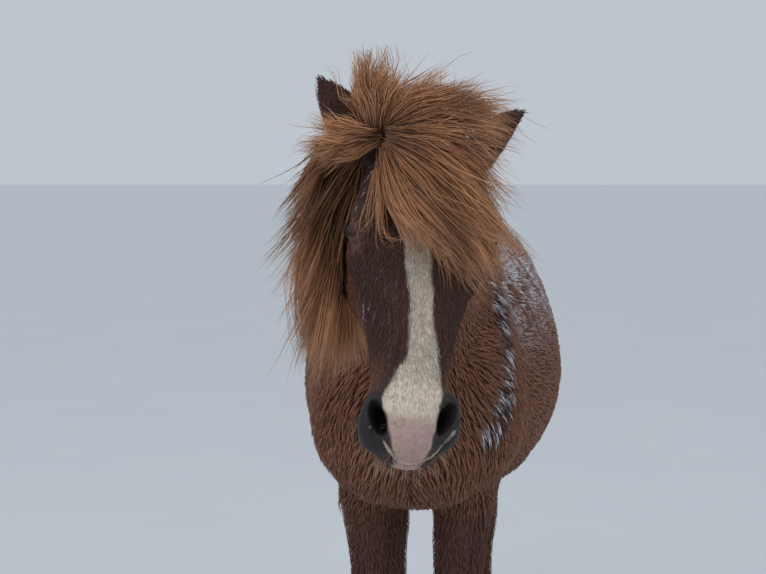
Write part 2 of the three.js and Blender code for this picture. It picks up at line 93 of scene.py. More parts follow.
def noiseAt(points, size, seed=0):
    # soft noise from -1 to 1, with blobs of about that size
    grid = points / size + seed * 17.31
    low = np.floor(grid).astype(int)
    part = grid - low
    part = part * part * (3 - 2 * part)
    total = np.zeros(len(points))
    for corner in range(8):
        step = np.array([corner & 1, corner >> 1 & 1, corner >> 2])
        weight = np.prod(np.where(step, part, 1 - part), axis=1)
        x, y, z = ((low + step) % latticeSize).T
        total += weight * lattice[x, y, z]
    return total * 2 - 1


def resampled(points, count):
    # a smooth line through points, cut into equal steps
    points = np.asarray(points, float)
    steps = np.linspace(0, len(points) - 1, 60)
    padded = np.vstack([2 * points[0] - points[1], points, 2 * points[-1] - points[-2]])
    low = np.minimum(steps.astype(int), len(points) - 2)
    part = (steps - low)[:, None]
    a, b, c, d = [padded[low + shift] for shift in range(4)]
    line = 0.5 * (2 * b + (c - a) * part + (2 * a - 5 * b + 4 * c - d) * part ** 2
                  + (3 * b - a - 3 * c + d) * part ** 3)
    travel = np.concatenate([[0], np.cumsum(np.linalg.norm(np.diff(line, axis=0), axis=1))])
    wanted = np.linspace(0, travel[-1], count)
    return np.stack([np.interp(wanted, travel, line[:, axis]) for axis in range(3)], axis=1)


# Camera, and where places stand in its frame

view = {
    "at": (0.167, -3.096, 1.40),
    "forward": (-0.0872, 0.9962),
    "down": 4.37,
    "lens": 65.8,
    "frameWidth": 766,
    "frameHeight": 574,
    "focal": 1400,  # in the frame's pixels
}


def makeCamera():
    down = math.radians(view["down"])
    along = Vector((*[f * math.cos(down) for f in view["forward"]], -math.sin(down)))
    camera = bpy.data.objects.new("camera", bpy.data.cameras.new("camera"))
    camera.data.lens = view["lens"]
    camera.data.sensor_width = 36
    camera.location = Vector(view["at"]) + Vector(centring)
    camera.rotation_euler = along.to_track_quat("-Z", "Y").to_euler()
    bpy.context.scene.collection.objects.link(camera)
    bpy.context.scene.camera = camera


def seenAt(places):
    # where places stand in the frame, as (pixel across, pixel down, depth from the camera)
    away = places - centring - view["at"]
    ahead = np.array(view["forward"])
    depth = away[..., :2] @ ahead
    right = away[..., :2] @ np.array([ahead[1], -ahead[0]])
    fall = np.arctan2(-away[..., 2], depth) - math.radians(view["down"])
    across = view["frameWidth"] / 2 + right / depth * view["focal"]
    return np.stack([across, view["frameHeight"] / 2 + np.tan(fall) * view["focal"], depth], axis=-1)


def pictured(spots):
    # the places in the frame of points given as (pixel across, pixel down, depth from the camera)
    spots = np.asarray(spots, float)
    ahead = np.array(view["forward"])
    across = np.array([ahead[1], -ahead[0]])
    depth = spots[..., 2]
    right = (spots[..., 0] - view["frameWidth"] / 2) / view["focal"] * depth
    fall = np.arctan((spots[..., 1] - view["frameHeight"] / 2) / view["focal"]) + math.radians(view["down"])
    plan = depth[..., None] * ahead + right[..., None] * across
    places = np.concatenate([plan, -(depth * np.tan(fall))[..., None]], axis=-1)
    return places + view["at"] + centring


# Shader building

class Signal:
    def __init__(self, tree, socket):
        self.tree, self.socket = tree, socket

    def calc(self, operation, *others):
        made = self.tree.nodes.new("ShaderNodeMath")
        made.operation = operation
        for place, value in zip(made.inputs, others):
            if isinstance(value, Signal):
                self.tree.links.new(value.socket, place)
            else:
                place.default_value = value
        return Signal(self.tree, made.outputs[0])

    def __add__(self, other):
        return self.calc("ADD", self, other)

    def __radd__(self, other):
        return self.calc("ADD", other, self)

    def __sub__(self, other):
        return self.calc("SUBTRACT", self, other)

    def __rsub__(self, other):
        return self.calc("SUBTRACT", other, self)

    def __mul__(self, other):
        return self.calc("MULTIPLY", self, other)

    def __rmul__(self, other):
        return self.calc("MULTIPLY", other, self)

    def between(self, low, high):
        return ((self - low) * (1 / (high - low))).clamped()

    def clamped(self):
        made = self.calc("ADD", self, 0.0)
        made.socket.node.use_clamp = True
        return made


def srgb(red, green, blue):
    # a colour as it is seen in a picture, from 0 to 255, as light
    def light(value):
        value /= 255
        return value / 12.92 if value <= 0.04045 else ((value + 0.055) / 1.055) ** 2.4
    return (light(red), light(green), light(blue), 1.0)


class Finish:
    def __init__(self, name, **constants):
        self.material = bpy.data.materials.new(name)
        self.material.use_nodes = True
        self.tree = self.material.node_tree
        self.surface = self.tree.nodes["Principled BSDF"]
        for socket, value in constants.items():
            self.surface.inputs[socket.replace("_", " ")].default_value = value

    def node(self, kind, settings=None, inputs=None, output=0):
        made = self.tree.nodes.new("ShaderNode" + kind)
        for key, value in (settings or {}).items():
            setattr(made, key, value)
        for key, value in (inputs or {}).items():
            if isinstance(value, Signal):
                self.tree.links.new(value.socket, made.inputs[key])
            else:
                made.inputs[key].default_value = value
        return Signal(self.tree, made.outputs[output])

    def vector(self, name):
        return self.node("Attribute", {"attribute_name": name}, output=1)

    def attribute(self, name, part):
        return self.node("SeparateXYZ", inputs={0: self.vector(name)}, output=part)

    def mix(self, share, first, second):
        settings = {"data_type": "RGBA", "clamp_factor": True}
        return self.node("Mix", settings, {0: share, 6: first, 7: second}, output=2)

    def drawn(self, where, *scales):
        return self.node("VectorMath", {"operation": "MULTIPLY"}, {0: where, 1: scales})

    def noise(self, where, scale, detail=3.0):
        values = {"Vector": where, "Scale": scale, "Detail": detail, "Roughness": 0.55}
        return self.node("TexNoise", inputs=values)

    def bump(self, height, strength, distance):
        return self.node("Bump", inputs={"Height": height, "Strength": strength, "Distance": distance})

    def wear(self, socket, value):
        self.tree.links.new(value.socket, self.surface.inputs[socket])


# Making pieces

def pieceFrom(name, mesh, finish, replaced=()):
    piece = bpy.data.objects.new(name, mesh)
    bpy.context.scene.collection.objects.link(piece)
    mesh.materials.clear()
    mesh.materials.append(finish)
    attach(piece, "root")
    if replaced:
        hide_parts(*replaced)
    return piece


def readVectors(items, key):
    values = np.empty(len(items) * 3)
    items.foreach_get(key, values)
    return values.reshape(-1, 3)


def readMesh(mesh):
    edges = np.empty(len(mesh.edges) * 2, np.int32)
    mesh.edges.foreach_get("vertices", edges)
    return readVectors(mesh.vertices, "co"), edges.reshape(-1, 2)


def writePlaces(mesh, places):
    mesh.vertices.foreach_set("co", places.astype(np.float32).ravel())
    mesh.update()


def normalsOf(mesh):
    return readVectors(mesh.vertex_normals, "vector")


def relax(places, edges, amount, rounds):
    # slides every point towards the mean of its neighbours, by its own amount
    count = len(places)
    first, second = edges.T
    share = (amount / np.maximum(np.bincount(edges.ravel(), minlength=count), 1))[:, None]
    for _ in range(rounds):
        total = np.empty_like(places)
        for axis in range(3):
            values = places[:, axis]
            total[:, axis] = np.bincount(first, values[second], count)
            total[:, axis] += np.bincount(second, values[first], count)
        places = places * (1 - amount)[:, None] + total * share
    return places


def meshFrom(name, places, faces, attributes=None):
    # a mesh from arrays: faces is a list of arrays of triangles or of quads
    mesh = bpy.data.meshes.new(name)
    sizes = np.concatenate([np.full(len(f), f.shape[1]) for f in faces])
    corners = np.concatenate([f.ravel() for f in faces]).astype(np.int32)
    mesh.vertices.add(len(places))
    mesh.vertices.foreach_set("co", places.astype(np.float32).ravel())
    mesh.loops.add(len(corners))
    mesh.loops.foreach_set("vertex_index", corners)
    mesh.polygons.add(len(sizes))
    mesh.polygons.foreach_set("loop_start", np.concatenate([[0], np.cumsum(sizes)[:-1]]).astype(np.int32))
    mesh.polygons.foreach_set("use_smooth", np.ones(len(sizes), bool))
    for key, values in (attributes or {}).items():
        addAttribute(mesh, key, values)
    mesh.update()
    mesh.validate()
    return mesh


def ringQuads(spans, rings, around):
    # the quads from each ring of points to the next, and from the last to the first if the spans reach it
    start = np.arange(spans)[:, None] * around
    a = start + np.arange(around)
    b = start + (np.arange(around) + 1) % around
    c, d = [(corner + around) % (rings * around) for corner in (b, a)]
    return np.stack([a, b, c, d], axis=-1).reshape(-1, 4)


def addAttribute(mesh, key, values):
    layer = mesh.attributes.new(key, "FLOAT_VECTOR", "POINT")
    layer.data.foreach_set("vector", values.astype(np.float32).ravel())


# The markings, which skin and coat share, and painted shade inside the nostrils, which joins the dark skin
# round them. Each is a share from 0 to 1 at a place

blaze = {
    # how far down the head, and where its edges lie on the right and left of the middle, in millimetres
    "down": (0.13, 0.17, 0.20, 0.231, 0.263, 0.325, 0.368, 0.409, 0.430, 0.450, 0.472, 0.49, 0.51, 0.535,
             0.55, 0.562, 0.574),
    "right": (-34, -36, -34, -30, -27, -15, -12, -11, -18, -27, -37, -45, -39, -32, -26, -19, -12),
    "left": (-32, -20, -6, 6, 12, 18, 22, 32, 34, 37, 38, 38, 36, 31, 27, 23, 14),
    "edge": 0.0030,
    "ragged": 0.0035,
}
sooty = {"half": (0.033, 0.042), "middle": (0.052, 0.519)}  # the dark bare skin round each nostril


def markings(places):
    local = toHead(places)
    across, front, down = local[:, 0], -local[:, 1], -local[:, 2]
    near = smooth(-0.03, 0.0, down) * smooth(0.62, 0.60, down) * smooth(0.13, 0.11, np.abs(across))
    near *= smooth(-0.12, -0.10, front)
    ragged = noiseAt(places, 0.012, 1) * 0.6 + noiseAt(places, 0.004, 2) * 0.4
    right = np.interp(down, blaze["down"], blaze["right"]) / 1000 + ragged * blaze["ragged"]
    left = np.interp(down, blaze["down"], blaze["left"]) / 1000 - ragged * blaze["ragged"]
    within = np.minimum(across - right, left - across)
    white = smooth(-blaze["edge"], blaze["edge"], within) * smooth(-0.030, -0.012, front) * near
    white *= smooth(0.13, 0.19, down)
    side = np.sign(across)
    reach = np.hypot((across * side - sooty["middle"][0]) / sooty["half"][0],
                     (down - sooty["middle"][1] + side * 0.005) / sooty["half"][1])
    # painted shade: the hollow inside each nostril and the middle of each nostril are made as dark as the
    # bare skin round them, as shade in the recess
    nostrilShade = smooth(0.043, 0.035, front) * smooth(1.25, 1.05, reach) * smooth(0.547, 0.537, down) * near
    white *= smooth(0.45, 0.65, reach) * (1 - nostrilShade)
    sootAndShade = smooth(1.12, 0.9, reach + ragged * 0.1) * smooth(-0.05, -0.02, front) * near
    sootAndShade = np.maximum(sootAndShade, nostrilShade)
    sootAndShade = np.maximum(sootAndShade, smooth(0.85, 0.7, reach) * near)
    line = mouthLine(local)
    chin = smooth(-0.001, 0.003, line) * smooth(0.485, 0.505, down) * near * smooth(-0.055, -0.03, front)
    sootAndShade = np.maximum(sootAndShade * (1 - white), chin)
    lip = smooth(0.0036, 0.0014, fromEdge(local, lipEdge) + ragged * 0.001) * near
    sootAndShade = sootAndShade * (1 - 0.85 * lip)
    white = np.maximum(white * (1 - chin), 0.7 * lip)
    pink = white * smooth(0.500, 0.530, down) * (1 - 0.6 * lip)
    return white, sootAndShade, pink


lipEdge = [(-0.056, -0.036, -0.530), (-0.045, -0.034, -0.542), (-0.034, -0.031, -0.551),
           (-0.023, -0.025, -0.562), (-0.010, -0.016, -0.568), (0.011, -0.017, -0.568),
           (0.030, -0.022, -0.560), (0.043, -0.024, -0.546), (0.058, -0.032, -0.527), (0.064, -0.034, -0.512)]


def fromLine(places, close, path, count):
    # the distance of the close places from a line, and a metre for the others
    reach = np.full(len(places), 1.0)
    gaps = places[close][:, None] - resampled(path, count)[None]
    reach[close] = np.linalg.norm(gaps, axis=2).min(axis=1)
    return reach


def fromEdge(local, path):
    muzzle = (np.abs(local[:, 0]) < 0.08) & (local[:, 2] < -0.49) & (local[:, 2] > -0.60)
    return fromLine(local, muzzle, path, 60)


def byNostril(local, reach):
    # whether each place lies in a box round the middle of a nostril
    spots = [np.array(headPose["nostril"]) * (side, 1, 1) + (0, 0, 0.005 * side) for side in (-1, 1)]
    return np.any([(np.abs(local - spot) < reach).all(axis=1) for spot in spots], axis=0)


def mouthLine(local):
    # how far each place lies under the line between the lips
    drop, start = headPose["mouth"]
    sloping = drop + headPose["mouthSlope"] * (start + local[:, 2])
    return local[:, 1] - sloping - 0.006 * np.cos(local[:, 0] / 0.02)


def darkness(places):
    # the front of the face and the legs are darker than the body
    local = toHead(places)
    down = -local[:, 2]
    face = smooth(-0.02, 0.06, down) * smooth(0.10, -0.01, local[:, 1]) * smooth(0.7, 0.66, down)
    onHead = smooth(0.19, 0.15, np.abs(local[:, 0])) * smooth(-0.80, -0.86, places[:, 1] - centring[1])
    tan = hump(down, 0.445, 0.030) * smooth(0.036, 0.050, np.abs(local[:, 0]))
    eyes = [np.linalg.norm(places - eyeAxes(side)[0], axis=1) for side in (-1, 1)]
    tan = np.maximum(tan, 0.5 * smooth(0.045, 0.028, np.minimum(*eyes)))
    legs = smooth(0.92, 0.68, places[:, 2] + 0.05 * noiseAt(places, 0.08, 22))
    shade = np.maximum(face * onHead * (1 - 0.8 * tan), 0.8 * legs)
    for name in ("ear_left", "ear_right"):
        low, high = [np.array(corner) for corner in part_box(name)]
        inside = np.minimum(smooth(-0.012, 0.0, places - low), smooth(-0.012, 0.0, high - places)).min(axis=1)
        shade = np.maximum(shade, inside * (0.55 + 0.45 * smooth(0.10, 0.02, high[2] - places[:, 2])))
    return np.clip(np.maximum(shade, stripAt(places)), 0, 1)


frosting = {
    "low": 1.02,
    "high": 1.26,
    # the middle of the wet strip on the left shoulder, before centring
    "strip": ((0.149, -0.447, 1.198), (0.160, -0.501, 1.139), (0.165, -0.539, 1.091), (0.173, -0.564, 1.043),
              (0.161, -0.604, 0.998), (0.149, -0.631, 0.958)),
    "half": 0.029,
}


def stripAt(places):
    # a share of 1 along the middle of the wet strip
    home = places - centring
    shoulder = (home[:, 0] > 0.08) & (home[:, 2] > 0.90) & (home[:, 2] < 1.26) & (home[:, 1] < -0.35)
    reach = fromLine(home, shoulder, frosting["strip"], 24)
    ragged = noiseAt(places, 0.02, 12) * 0.010
    return smooth(frosting["half"] + 0.006, frosting["half"] - 0.008, reach + ragged)


def frost(places, normals):
    # fine snow lies in the coat of the back, and in clumps down a wet strip of the left shoulder
    home = places - centring
    onBack = smooth(frosting["low"], frosting["high"], home[:, 2] + 0.04 * normals[:, 2])
    onBack *= smooth(-0.44, -0.36, home[:, 1]) * smooth(0.0, 0.55, normals[:, 2] + 0.25)
    patchy = smooth(-0.55, 0.20, noiseAt(places, 0.05, 5) * 0.6 + noiseAt(places, 0.014, 6) * 0.6)
    clumps = smooth(-0.02, 0.22, noiseAt(places, 0.013, 13) + 0.3 * noiseAt(places, 0.006, 14))
    local = toHead(places)
    brow = smooth(0.02, 0.06, -local[:, 2]) * smooth(0.22, 0.17, -local[:, 2])
    brow *= smooth(-0.015, -0.035, local[:, 0])
    cheek = hump(local[:, 2], -0.33, 0.03) * smooth(-0.055, -0.07, local[:, 0])
    onHead = smooth(-0.80, -0.86, home[:, 1]) * np.maximum(brow, cheek)
    flecks = 0.8 * smooth(0.48, 0.66, noiseAt(places, 0.0048, 21)) * onHead
    return np.maximum.reduce([onBack * patchy, stripAt(places) * clumps, flecks])


print("places and tools ready")


# The skin

coatDepth = {"trunk": 0.014, "neck": 0.012, "leg": 0.006, "cheek": 0.006, "face": 0.0026, "muzzle": 0.0008,
             "ear": 0.0012}
skinMaking = {"voxel": 0.003, "swell": 0.0006, "trunkRounds": 110, "legRounds": 12, "headRounds": 5,
              "triangles": 176000, "beforeEyes": 0.86, "bodyFactor": 6.0}
fleshNodes = [n for n in nodes if not n.startswith(("eye", "forelock", "mane", "tail")) and "hoof" not in n]


def regions(places):
    # how much each place belongs to the head, an ear, the muzzle, the neck and the legs
    home = places - centring
    local = toHead(places)
    down = -local[:, 2]
    head = smooth(-0.79, -0.85, home[:, 1])
    ear = np.zeros(len(places))
    for side in ("ear_left", "ear_right"):
        low, high = [np.array(corner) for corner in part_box(side)]
        inside = smooth(-0.010, 0.004, np.minimum(places - low, high - places)).min(axis=1)
        outside = np.abs(local[:, 0]) + np.maximum(local[:, 2], -0.03)
        ear = np.maximum(ear, inside * smooth(0.080, 0.095, outside))
    muzzle = smooth(0.42, 0.48, down) * head
    neck = smooth(-0.40, -0.60, home[:, 1]) * smooth(1.0, 1.15, home[:, 2]) * (1 - head)
    legs = smooth(0.86, 0.72, home[:, 2]) * smooth(0.62, 0.60, down * head)
    return {"head": head, "ear": ear, "muzzle": muzzle, "neck": neck, "legs": legs}


def depthAt(places, where):
    local = toHead(places)
    face = coatDepth["face"] + (coatDepth["cheek"] - coatDepth["face"]) * smooth(0.0, 0.09, local[:, 1])
    depth = coatDepth["trunk"] + (coatDepth["neck"] - coatDepth["trunk"]) * where["neck"]
    muzzle, ear = coatDepth["muzzle"], coatDepth["ear"]
    for key, value in {"legs": coatDepth["leg"], "head": face, "muzzle": muzzle, "ear": ear}.items():
        depth = depth + (value - depth) * where[key]
    return depth


def mergedNode(name):
    work = bmesh.new()
    work.from_mesh(nodes[name].data)
    bmesh.ops.remove_doubles(work, verts=work.verts, dist=1e-5)
    return work


def joinedFlesh():
    whole = bmesh.new()
    for name in fleshNodes + ["eye_left", "eye_right"]:  # the eyes fill their sockets until the lids open
        part = mergedNode(name)
        part.normal_update()
        for vertex in part.verts:
            vertex.co += vertex.normal * skinMaking["swell"]
        mesh = bpy.data.meshes.new(name)
        part.to_mesh(mesh)
        part.free()
        whole.from_mesh(mesh)
        bpy.data.meshes.remove(mesh)
    mesh = bpy.data.meshes.new("flesh")
    whole.to_mesh(mesh)
    whole.free()
    return mesh


def modified(mesh, kind, **settings):
    # the mesh as one modifier leaves it, in place of the old one
    obj = bpy.data.objects.new(mesh.name, mesh)
    bpy.context.scene.collection.objects.link(obj)
    groups = settings.pop("groups", {})
    for key, weights in groups.items():
        group = obj.vertex_groups.new(name=key)
        for level in np.unique(weights):
            group.add(np.nonzero(weights == level)[0].tolist(), float(level), "REPLACE")
    modifier = obj.modifiers.new(kind, kind)
    for key, value in settings.items():
        setattr(modifier, key, value)
    graph = bpy.context.evaluated_depsgraph_get()
    made = bpy.data.meshes.new_from_object(obj.evaluated_get(graph))
    bpy.data.objects.remove(obj)
    bpy.data.meshes.remove(mesh)
    return made


def makeFineSkin():
    mesh = modified(joinedFlesh(), "REMESH", mode="VOXEL", voxel_size=skinMaking["voxel"], adaptivity=0)
    places, edges = readMesh(mesh)
    where = regions(places)
    trunk = (1 - where["head"]) * (1 - where["legs"])
    places = relax(places, edges, 0.9 * trunk, skinMaking["trunkRounds"])
    places = relax(places, edges, np.maximum(where["legs"] * 0.9, trunk * 0.5), skinMaking["legRounds"])
    places = relax(places, edges, 0.7 * where["head"] * (1 - 0.6 * where["ear"]), skinMaking["headRounds"])
    writePlaces(mesh, places)
    normals = normalsOf(mesh)
    places = places - normals * depthAt(places, where)[:, None]
    places = relax(places, edges, 0.5 * (1 - where["ear"]), 2)
    writePlaces(mesh, places)
    print("fine skin", len(mesh.vertices))
    return mesh


eyeShape = {
    "radius": 0.020,
    "outward": (0.93, -0.34, 0.04),  # on the left side of the head
    "nasal": (0.0, -0.42, -0.91),
    "halfLong": 0.0185,
    "upper": 0.0120,
    "lower": 0.0085,
    "lid": 0.0024,
    "lidSlope": 0.013,  # how far out from the opening a step of one on its scale is
    "cover": 0.0018,  # how far outside the ball the skin stays
    "bulge": 0.0013,
    "reach": (0.038, 0.025),
    "finer": (0.034, 0.028),  # the skin is cut finer within each of these
    # the swollen edge of the lids and the crease over it: how far outside the opening, and how wide
    "roll": (0.0015, 0.002),
    "fold": (0.0045, 0.0012),
}


def eyeAxes(side):
    centre = fromHead(np.array(headPose["eye"]) * (side, 1, 1))
    outward = unit(np.array(eyeShape["outward"]) * (side, 1, 1))
    nasal = np.array(eyeShape["nasal"])
    nasal = unit(nasal - outward * (nasal @ outward))
    above = np.cross(outward, nasal) * side
    return centre, headTurn @ outward, headTurn @ nasal, headTurn @ above


def openingAt(along, above):
    # 1 on the edge of the lids, less inside
    height = np.where(above > 0, eyeShape["upper"], eyeShape["lower"])
    return np.abs(along / eyeShape["halfLong"]) ** 1.7 + np.abs(above / height) ** 2


def sculptEyes(places):
    radius = eyeShape["radius"]
    for side in (-1, 1):
        centre, outward, nasal, above = eyeAxes(side)
        away = places - centre
        out, distance = away @ outward, np.linalg.norm(away, axis=1)
        ray = unit(away) * radius
        along, up = ray @ nasal, ray @ above
        near = (out > -0.004) & (distance < 0.045)
        beyond = (np.sqrt(openingAt(along, up)) - 1) * eyeShape["lidSlope"]
        lidded = np.maximum(smooth(*eyeShape["reach"], distance), smooth(0.0, -0.001, beyond))
        shell = radius + eyeShape["lid"] - 0.0045 * smooth(0.0, -0.0025, beyond)
        shell = shell + 0.0012 * hump(beyond, *eyeShape["roll"])
        fold = 0.0016 * hump(beyond, *eyeShape["fold"]) * smooth(0.0, 0.006, up)
        target = centre + unit(away) * (shell - fold)[:, None]
        share = (lidded * near * smooth(-0.002, 0.006, out))[:, None]
        places = places * (1 - share) + target * share
        reach = np.linalg.norm(places - centre, axis=1)
        least = radius + eyeShape["cover"]
        covered = near & (beyond > 0.0) & (reach < least)
        places[covered] = centre + unit(places - centre)[covered] * least
    return places


belowLip = np.array([0.0, 0.0055, -0.0015])
lips = {"groove": 0.0055, "width": 0.0026, "corner": 0.470}


def sculptMuzzle(places, normals):
    local = toHead(places)
    across, down = local[:, 0], -local[:, 2]
    line = mouthLine(local)
    wide = smooth(lips["corner"] - 0.01, lips["corner"] + 0.012, down)
    groove = hump(line, 0, lips["width"]) * wide * lips["groove"]
    groove = np.maximum(groove, 0.0030 * hump(fromEdge(local, lipEdge + belowLip), 0, 0.0022))
    puff = 0.0018 * hump(line, -0.009, 0.006) * wide
    crease = np.sin(down * 900 + noiseAt(places, 0.02, 3) * 2.5) * 0.0005
    crease *= smooth(0.40, 0.46, down) * smooth(0.54, 0.50, down) * smooth(0.030, 0.045, np.abs(across))
    pores = noiseAt(places, 0.0022, 4) * 0.00025 * smooth(0.47, 0.50, down)
    return places + normals * (puff + crease + pores - groove)[:, None]


def makeSkin(fine):
    places, _ = readMesh(fine)
    where = regions(places)
    keep = np.round(np.maximum(where["head"], where["ear"]), 1)
    ratio = skinMaking["triangles"] * skinMaking["beforeEyes"] / (2 * len(fine.polygons))
    mesh = modified(fine.copy(), "DECIMATE", ratio=ratio, vertex_group="body",
                    vertex_group_factor=skinMaking["bodyFactor"], groups={"body": 1 - keep})
    fineWork = bmesh.new()
    fineWork.from_mesh(mesh)
    eyes = [Vector(eyeAxes(side)[0]) for side in (-1, 1)]
    for reach in eyeShape["finer"]:
        edges = [e for e in fineWork.edges if min((e.verts[0].co - eye).length for eye in eyes) < reach]
        bmesh.ops.subdivide_edges(fineWork, edges=edges, cuts=1)
        bmesh.ops.triangulate(fineWork, faces=[f for f in fineWork.faces if len(f.verts) > 3])
    fineWork.to_mesh(mesh)
    fineWork.free()
    places, edges = readMesh(mesh)
    nearEye = np.minimum(*[np.linalg.norm(places - np.array(eye), axis=1) for eye in eyes])
    places = relax(places, edges, smooth(0.04, 0.03, nearEye) * 0.6, 8)
    places = sculptEyes(places)
    writePlaces(mesh, places)
    places = sculptMuzzle(places, normalsOf(mesh))
    writePlaces(mesh, places)
    white, sootAndShade, pink = markings(places)
    addAttribute(mesh, "marks", np.stack([white, sootAndShade, pink], axis=1))
    shade = np.stack([darkness(places), frost(places, normalsOf(mesh)), regions(places)["muzzle"]], axis=1)
    addAttribute(mesh, "shade", shade)
    mesh.shade_smooth()
    mesh.update()
    print("skin", len(mesh.polygons))
    return mesh


# Colours of the coat, as seen in the picture

coatColours = {
    "root": srgb(106, 67, 51),
    "body": srgb(132, 86, 66),
    "tip": srgb(162, 112, 88),
    "ruddy": srgb(180, 116, 84),
    "dark": srgb(58, 37, 34),
    "darkTip": srgb(86, 57, 49),
    "white": srgb(224, 211, 193),
    "whiteRoot": srgb(186, 171, 153),
    "pink": srgb(176, 145, 137),
    # the dark bare skin round the nostrils, also used as painted shade inside them
    "sootAndShade": srgb(26, 23, 24),
    "frost": srgb(226, 226, 232),
}


def skinFinish():
    made = Finish("skin", Roughness=0.62, Specular_IOR_Level=0.35)
    where = made.node("TexCoord", output=3)
    white, sootAndShade, pink = [made.attribute("marks", part) for part in range(3)]
    dark, frosted, muzzle = [made.attribute("shade", part) for part in range(3)]
    blotch = made.noise(where, 9.0)
    fine = made.noise(where, 160.0, 4.0)
    colour = made.mix(blotch, coatColours["root"], coatColours["body"])
    colour = made.mix(dark * 0.9, colour, coatColours["dark"])
    colour = made.mix(frosted * 0.35, colour, coatColours["frost"])
    colour = made.mix(muzzle * 0.7, colour, srgb(66, 50, 47))
    colour = made.mix(white, colour, made.mix(fine, coatColours["whiteRoot"], coatColours["white"]))
    blush = made.mix(fine.between(0.3, 0.7), coatColours["pink"], srgb(158, 131, 124))
    colour = made.mix(pink, colour, blush)
    # dark bare skin round the nostrils, with painted shade in their hollows
    colour = made.mix(sootAndShade, colour, made.mix(fine, coatColours["sootAndShade"], srgb(42, 38, 38)))
    made.wear("Base Color", colour)
    made.wear("Roughness", 0.62 - sootAndShade * 0.02 - pink * 0.10)
    pores = made.noise(where, 700.0, 3.0)
    made.wear("Normal", made.bump(fine * 0.5 + pores * 0.5, 0.35, 0.0012))
    return made.material


# The coat: tufts that lie along the body

tuft = {
    # how far apart, how long, half as wide, how high the tips stand, and how much a clump draws them in
    "trunk": {"apart": 0.0074, "long": 0.034, "half": 0.0016, "high": 0.0100, "pull": 0.12},
    "legs": {"apart": 0.0072, "long": 0.022, "half": 0.0013, "high": 0.0052, "pull": 0.15},
    "head": {"apart": 0.0040, "long": 0.0115, "half": 0.00075, "high": 0.0019, "pull": 0.10},
    "cheekLong": 0.024,
    "earLong": 0.013,
    "earLower": 0.45,
    "muzzleLess": {"long": 0.35, "half": 0.45, "high": 0.75},
    "feather": {"long": 0.034, "high": 0.006, "from": 0.24, "to": 0.19},  # behind the fetlocks
    "clump": 0.016,
    "eyeClear": 0.0285,
    "nostrilClear": (0.016, 0.05, 0.033),
    "most": 19500,  # tufts in one piece
}


def flowAt(places, normals, where):
    # which way the coat lies at each place
    home = places - centring
    side = np.sign(home[:, 0])
    x, y, z = home.T

    def way(*parts):
        return np.stack([np.broadcast_to(part, len(x)) for part in parts], axis=1).astype(float)

    flow = way(0, 1, -0.38 * np.clip(1 - normals[:, 2], 0, 1.2))
    shoulder = smooth(-0.25, -0.50, y)
    flow = flow + (way(0, 0.55, -1) - flow) * shoulder[:, None]
    chest = smooth(-0.56, -0.66, y) * smooth(1.2, 1.05, z)
    flow = flow + (way(0.35 * side, 0.15, -1) - flow) * chest[:, None]
    quarters = smooth(0.35, 0.62, y)
    flow = flow + (way(0, 0.5, -1) - flow) * quarters[:, None]
    neckWay = way(0, 0.9, -0.75)
    flow = flow + (neckWay - flow) * where["neck"][:, None]
    flow = flow + (way(0, 0.10, -1) - flow) * where["legs"][:, None]
    local = toHead(places)
    cheek = smooth(0.0, 0.07, local[:, 1])
    ahead = np.stack([0.25 * local[:, 0] / 0.08, 0.10 + 0.9 * cheek, -1.0 + 0.75 * cheek], axis=1)
    flow = flow + (ahead @ headTurn.T - flow) * where["head"][:, None]
    for name in ("ear_left", "ear_right"):
        low, high = [np.array(corner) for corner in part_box(name)]
        base = fromHead(np.array([0.072 * (1 if name == "ear_left" else -1), 0.012, -0.06]))
        tip = np.array([high[0] if name == "ear_left" else low[0], (low[1] + high[1]) / 2, high[2]])
        inside = ((places > low - 0.005) & (places < high + 0.005)).all(axis=1) * where["ear"]
        flow = flow + (unit(tip - base) - flow) * inside[:, None]
    wander = np.stack([noiseAt(places, 0.09, s) for s in (7, 8, 9)], axis=1) * 0.30
    wander += np.stack([noiseAt(places, 0.018, s) for s in (17, 18, 19)], axis=1) * 0.09
    flow = unit(flow) + wander
    return unit(flow - normals * (flow * normals).sum(axis=1, keepdims=True))


def cellKeys(places, size, shift):
    # one number for all the places in the same cell of a grid
    cells = np.floor(places / size + shift).astype(np.int64)
    return (cells[:, 0] * 73856093) ^ (cells[:, 1] * 19349663) ^ (cells[:, 2] * 83492791)


def thinned(places, apart, random):
    # one place in each cell, so that tufts stand evenly
    order = random.permutation(len(places))
    _, first = np.unique(cellKeys(places[order], apart, 0.37), return_index=True)
    return order[first]


def bakePatch(rootSpot, across, along):
    # each tuft keeps a patch of its own about 0.003 across, where its root lies on the unwrapped skin
    return rootSpot + np.stack([across, along], axis=-1) * 0.0015


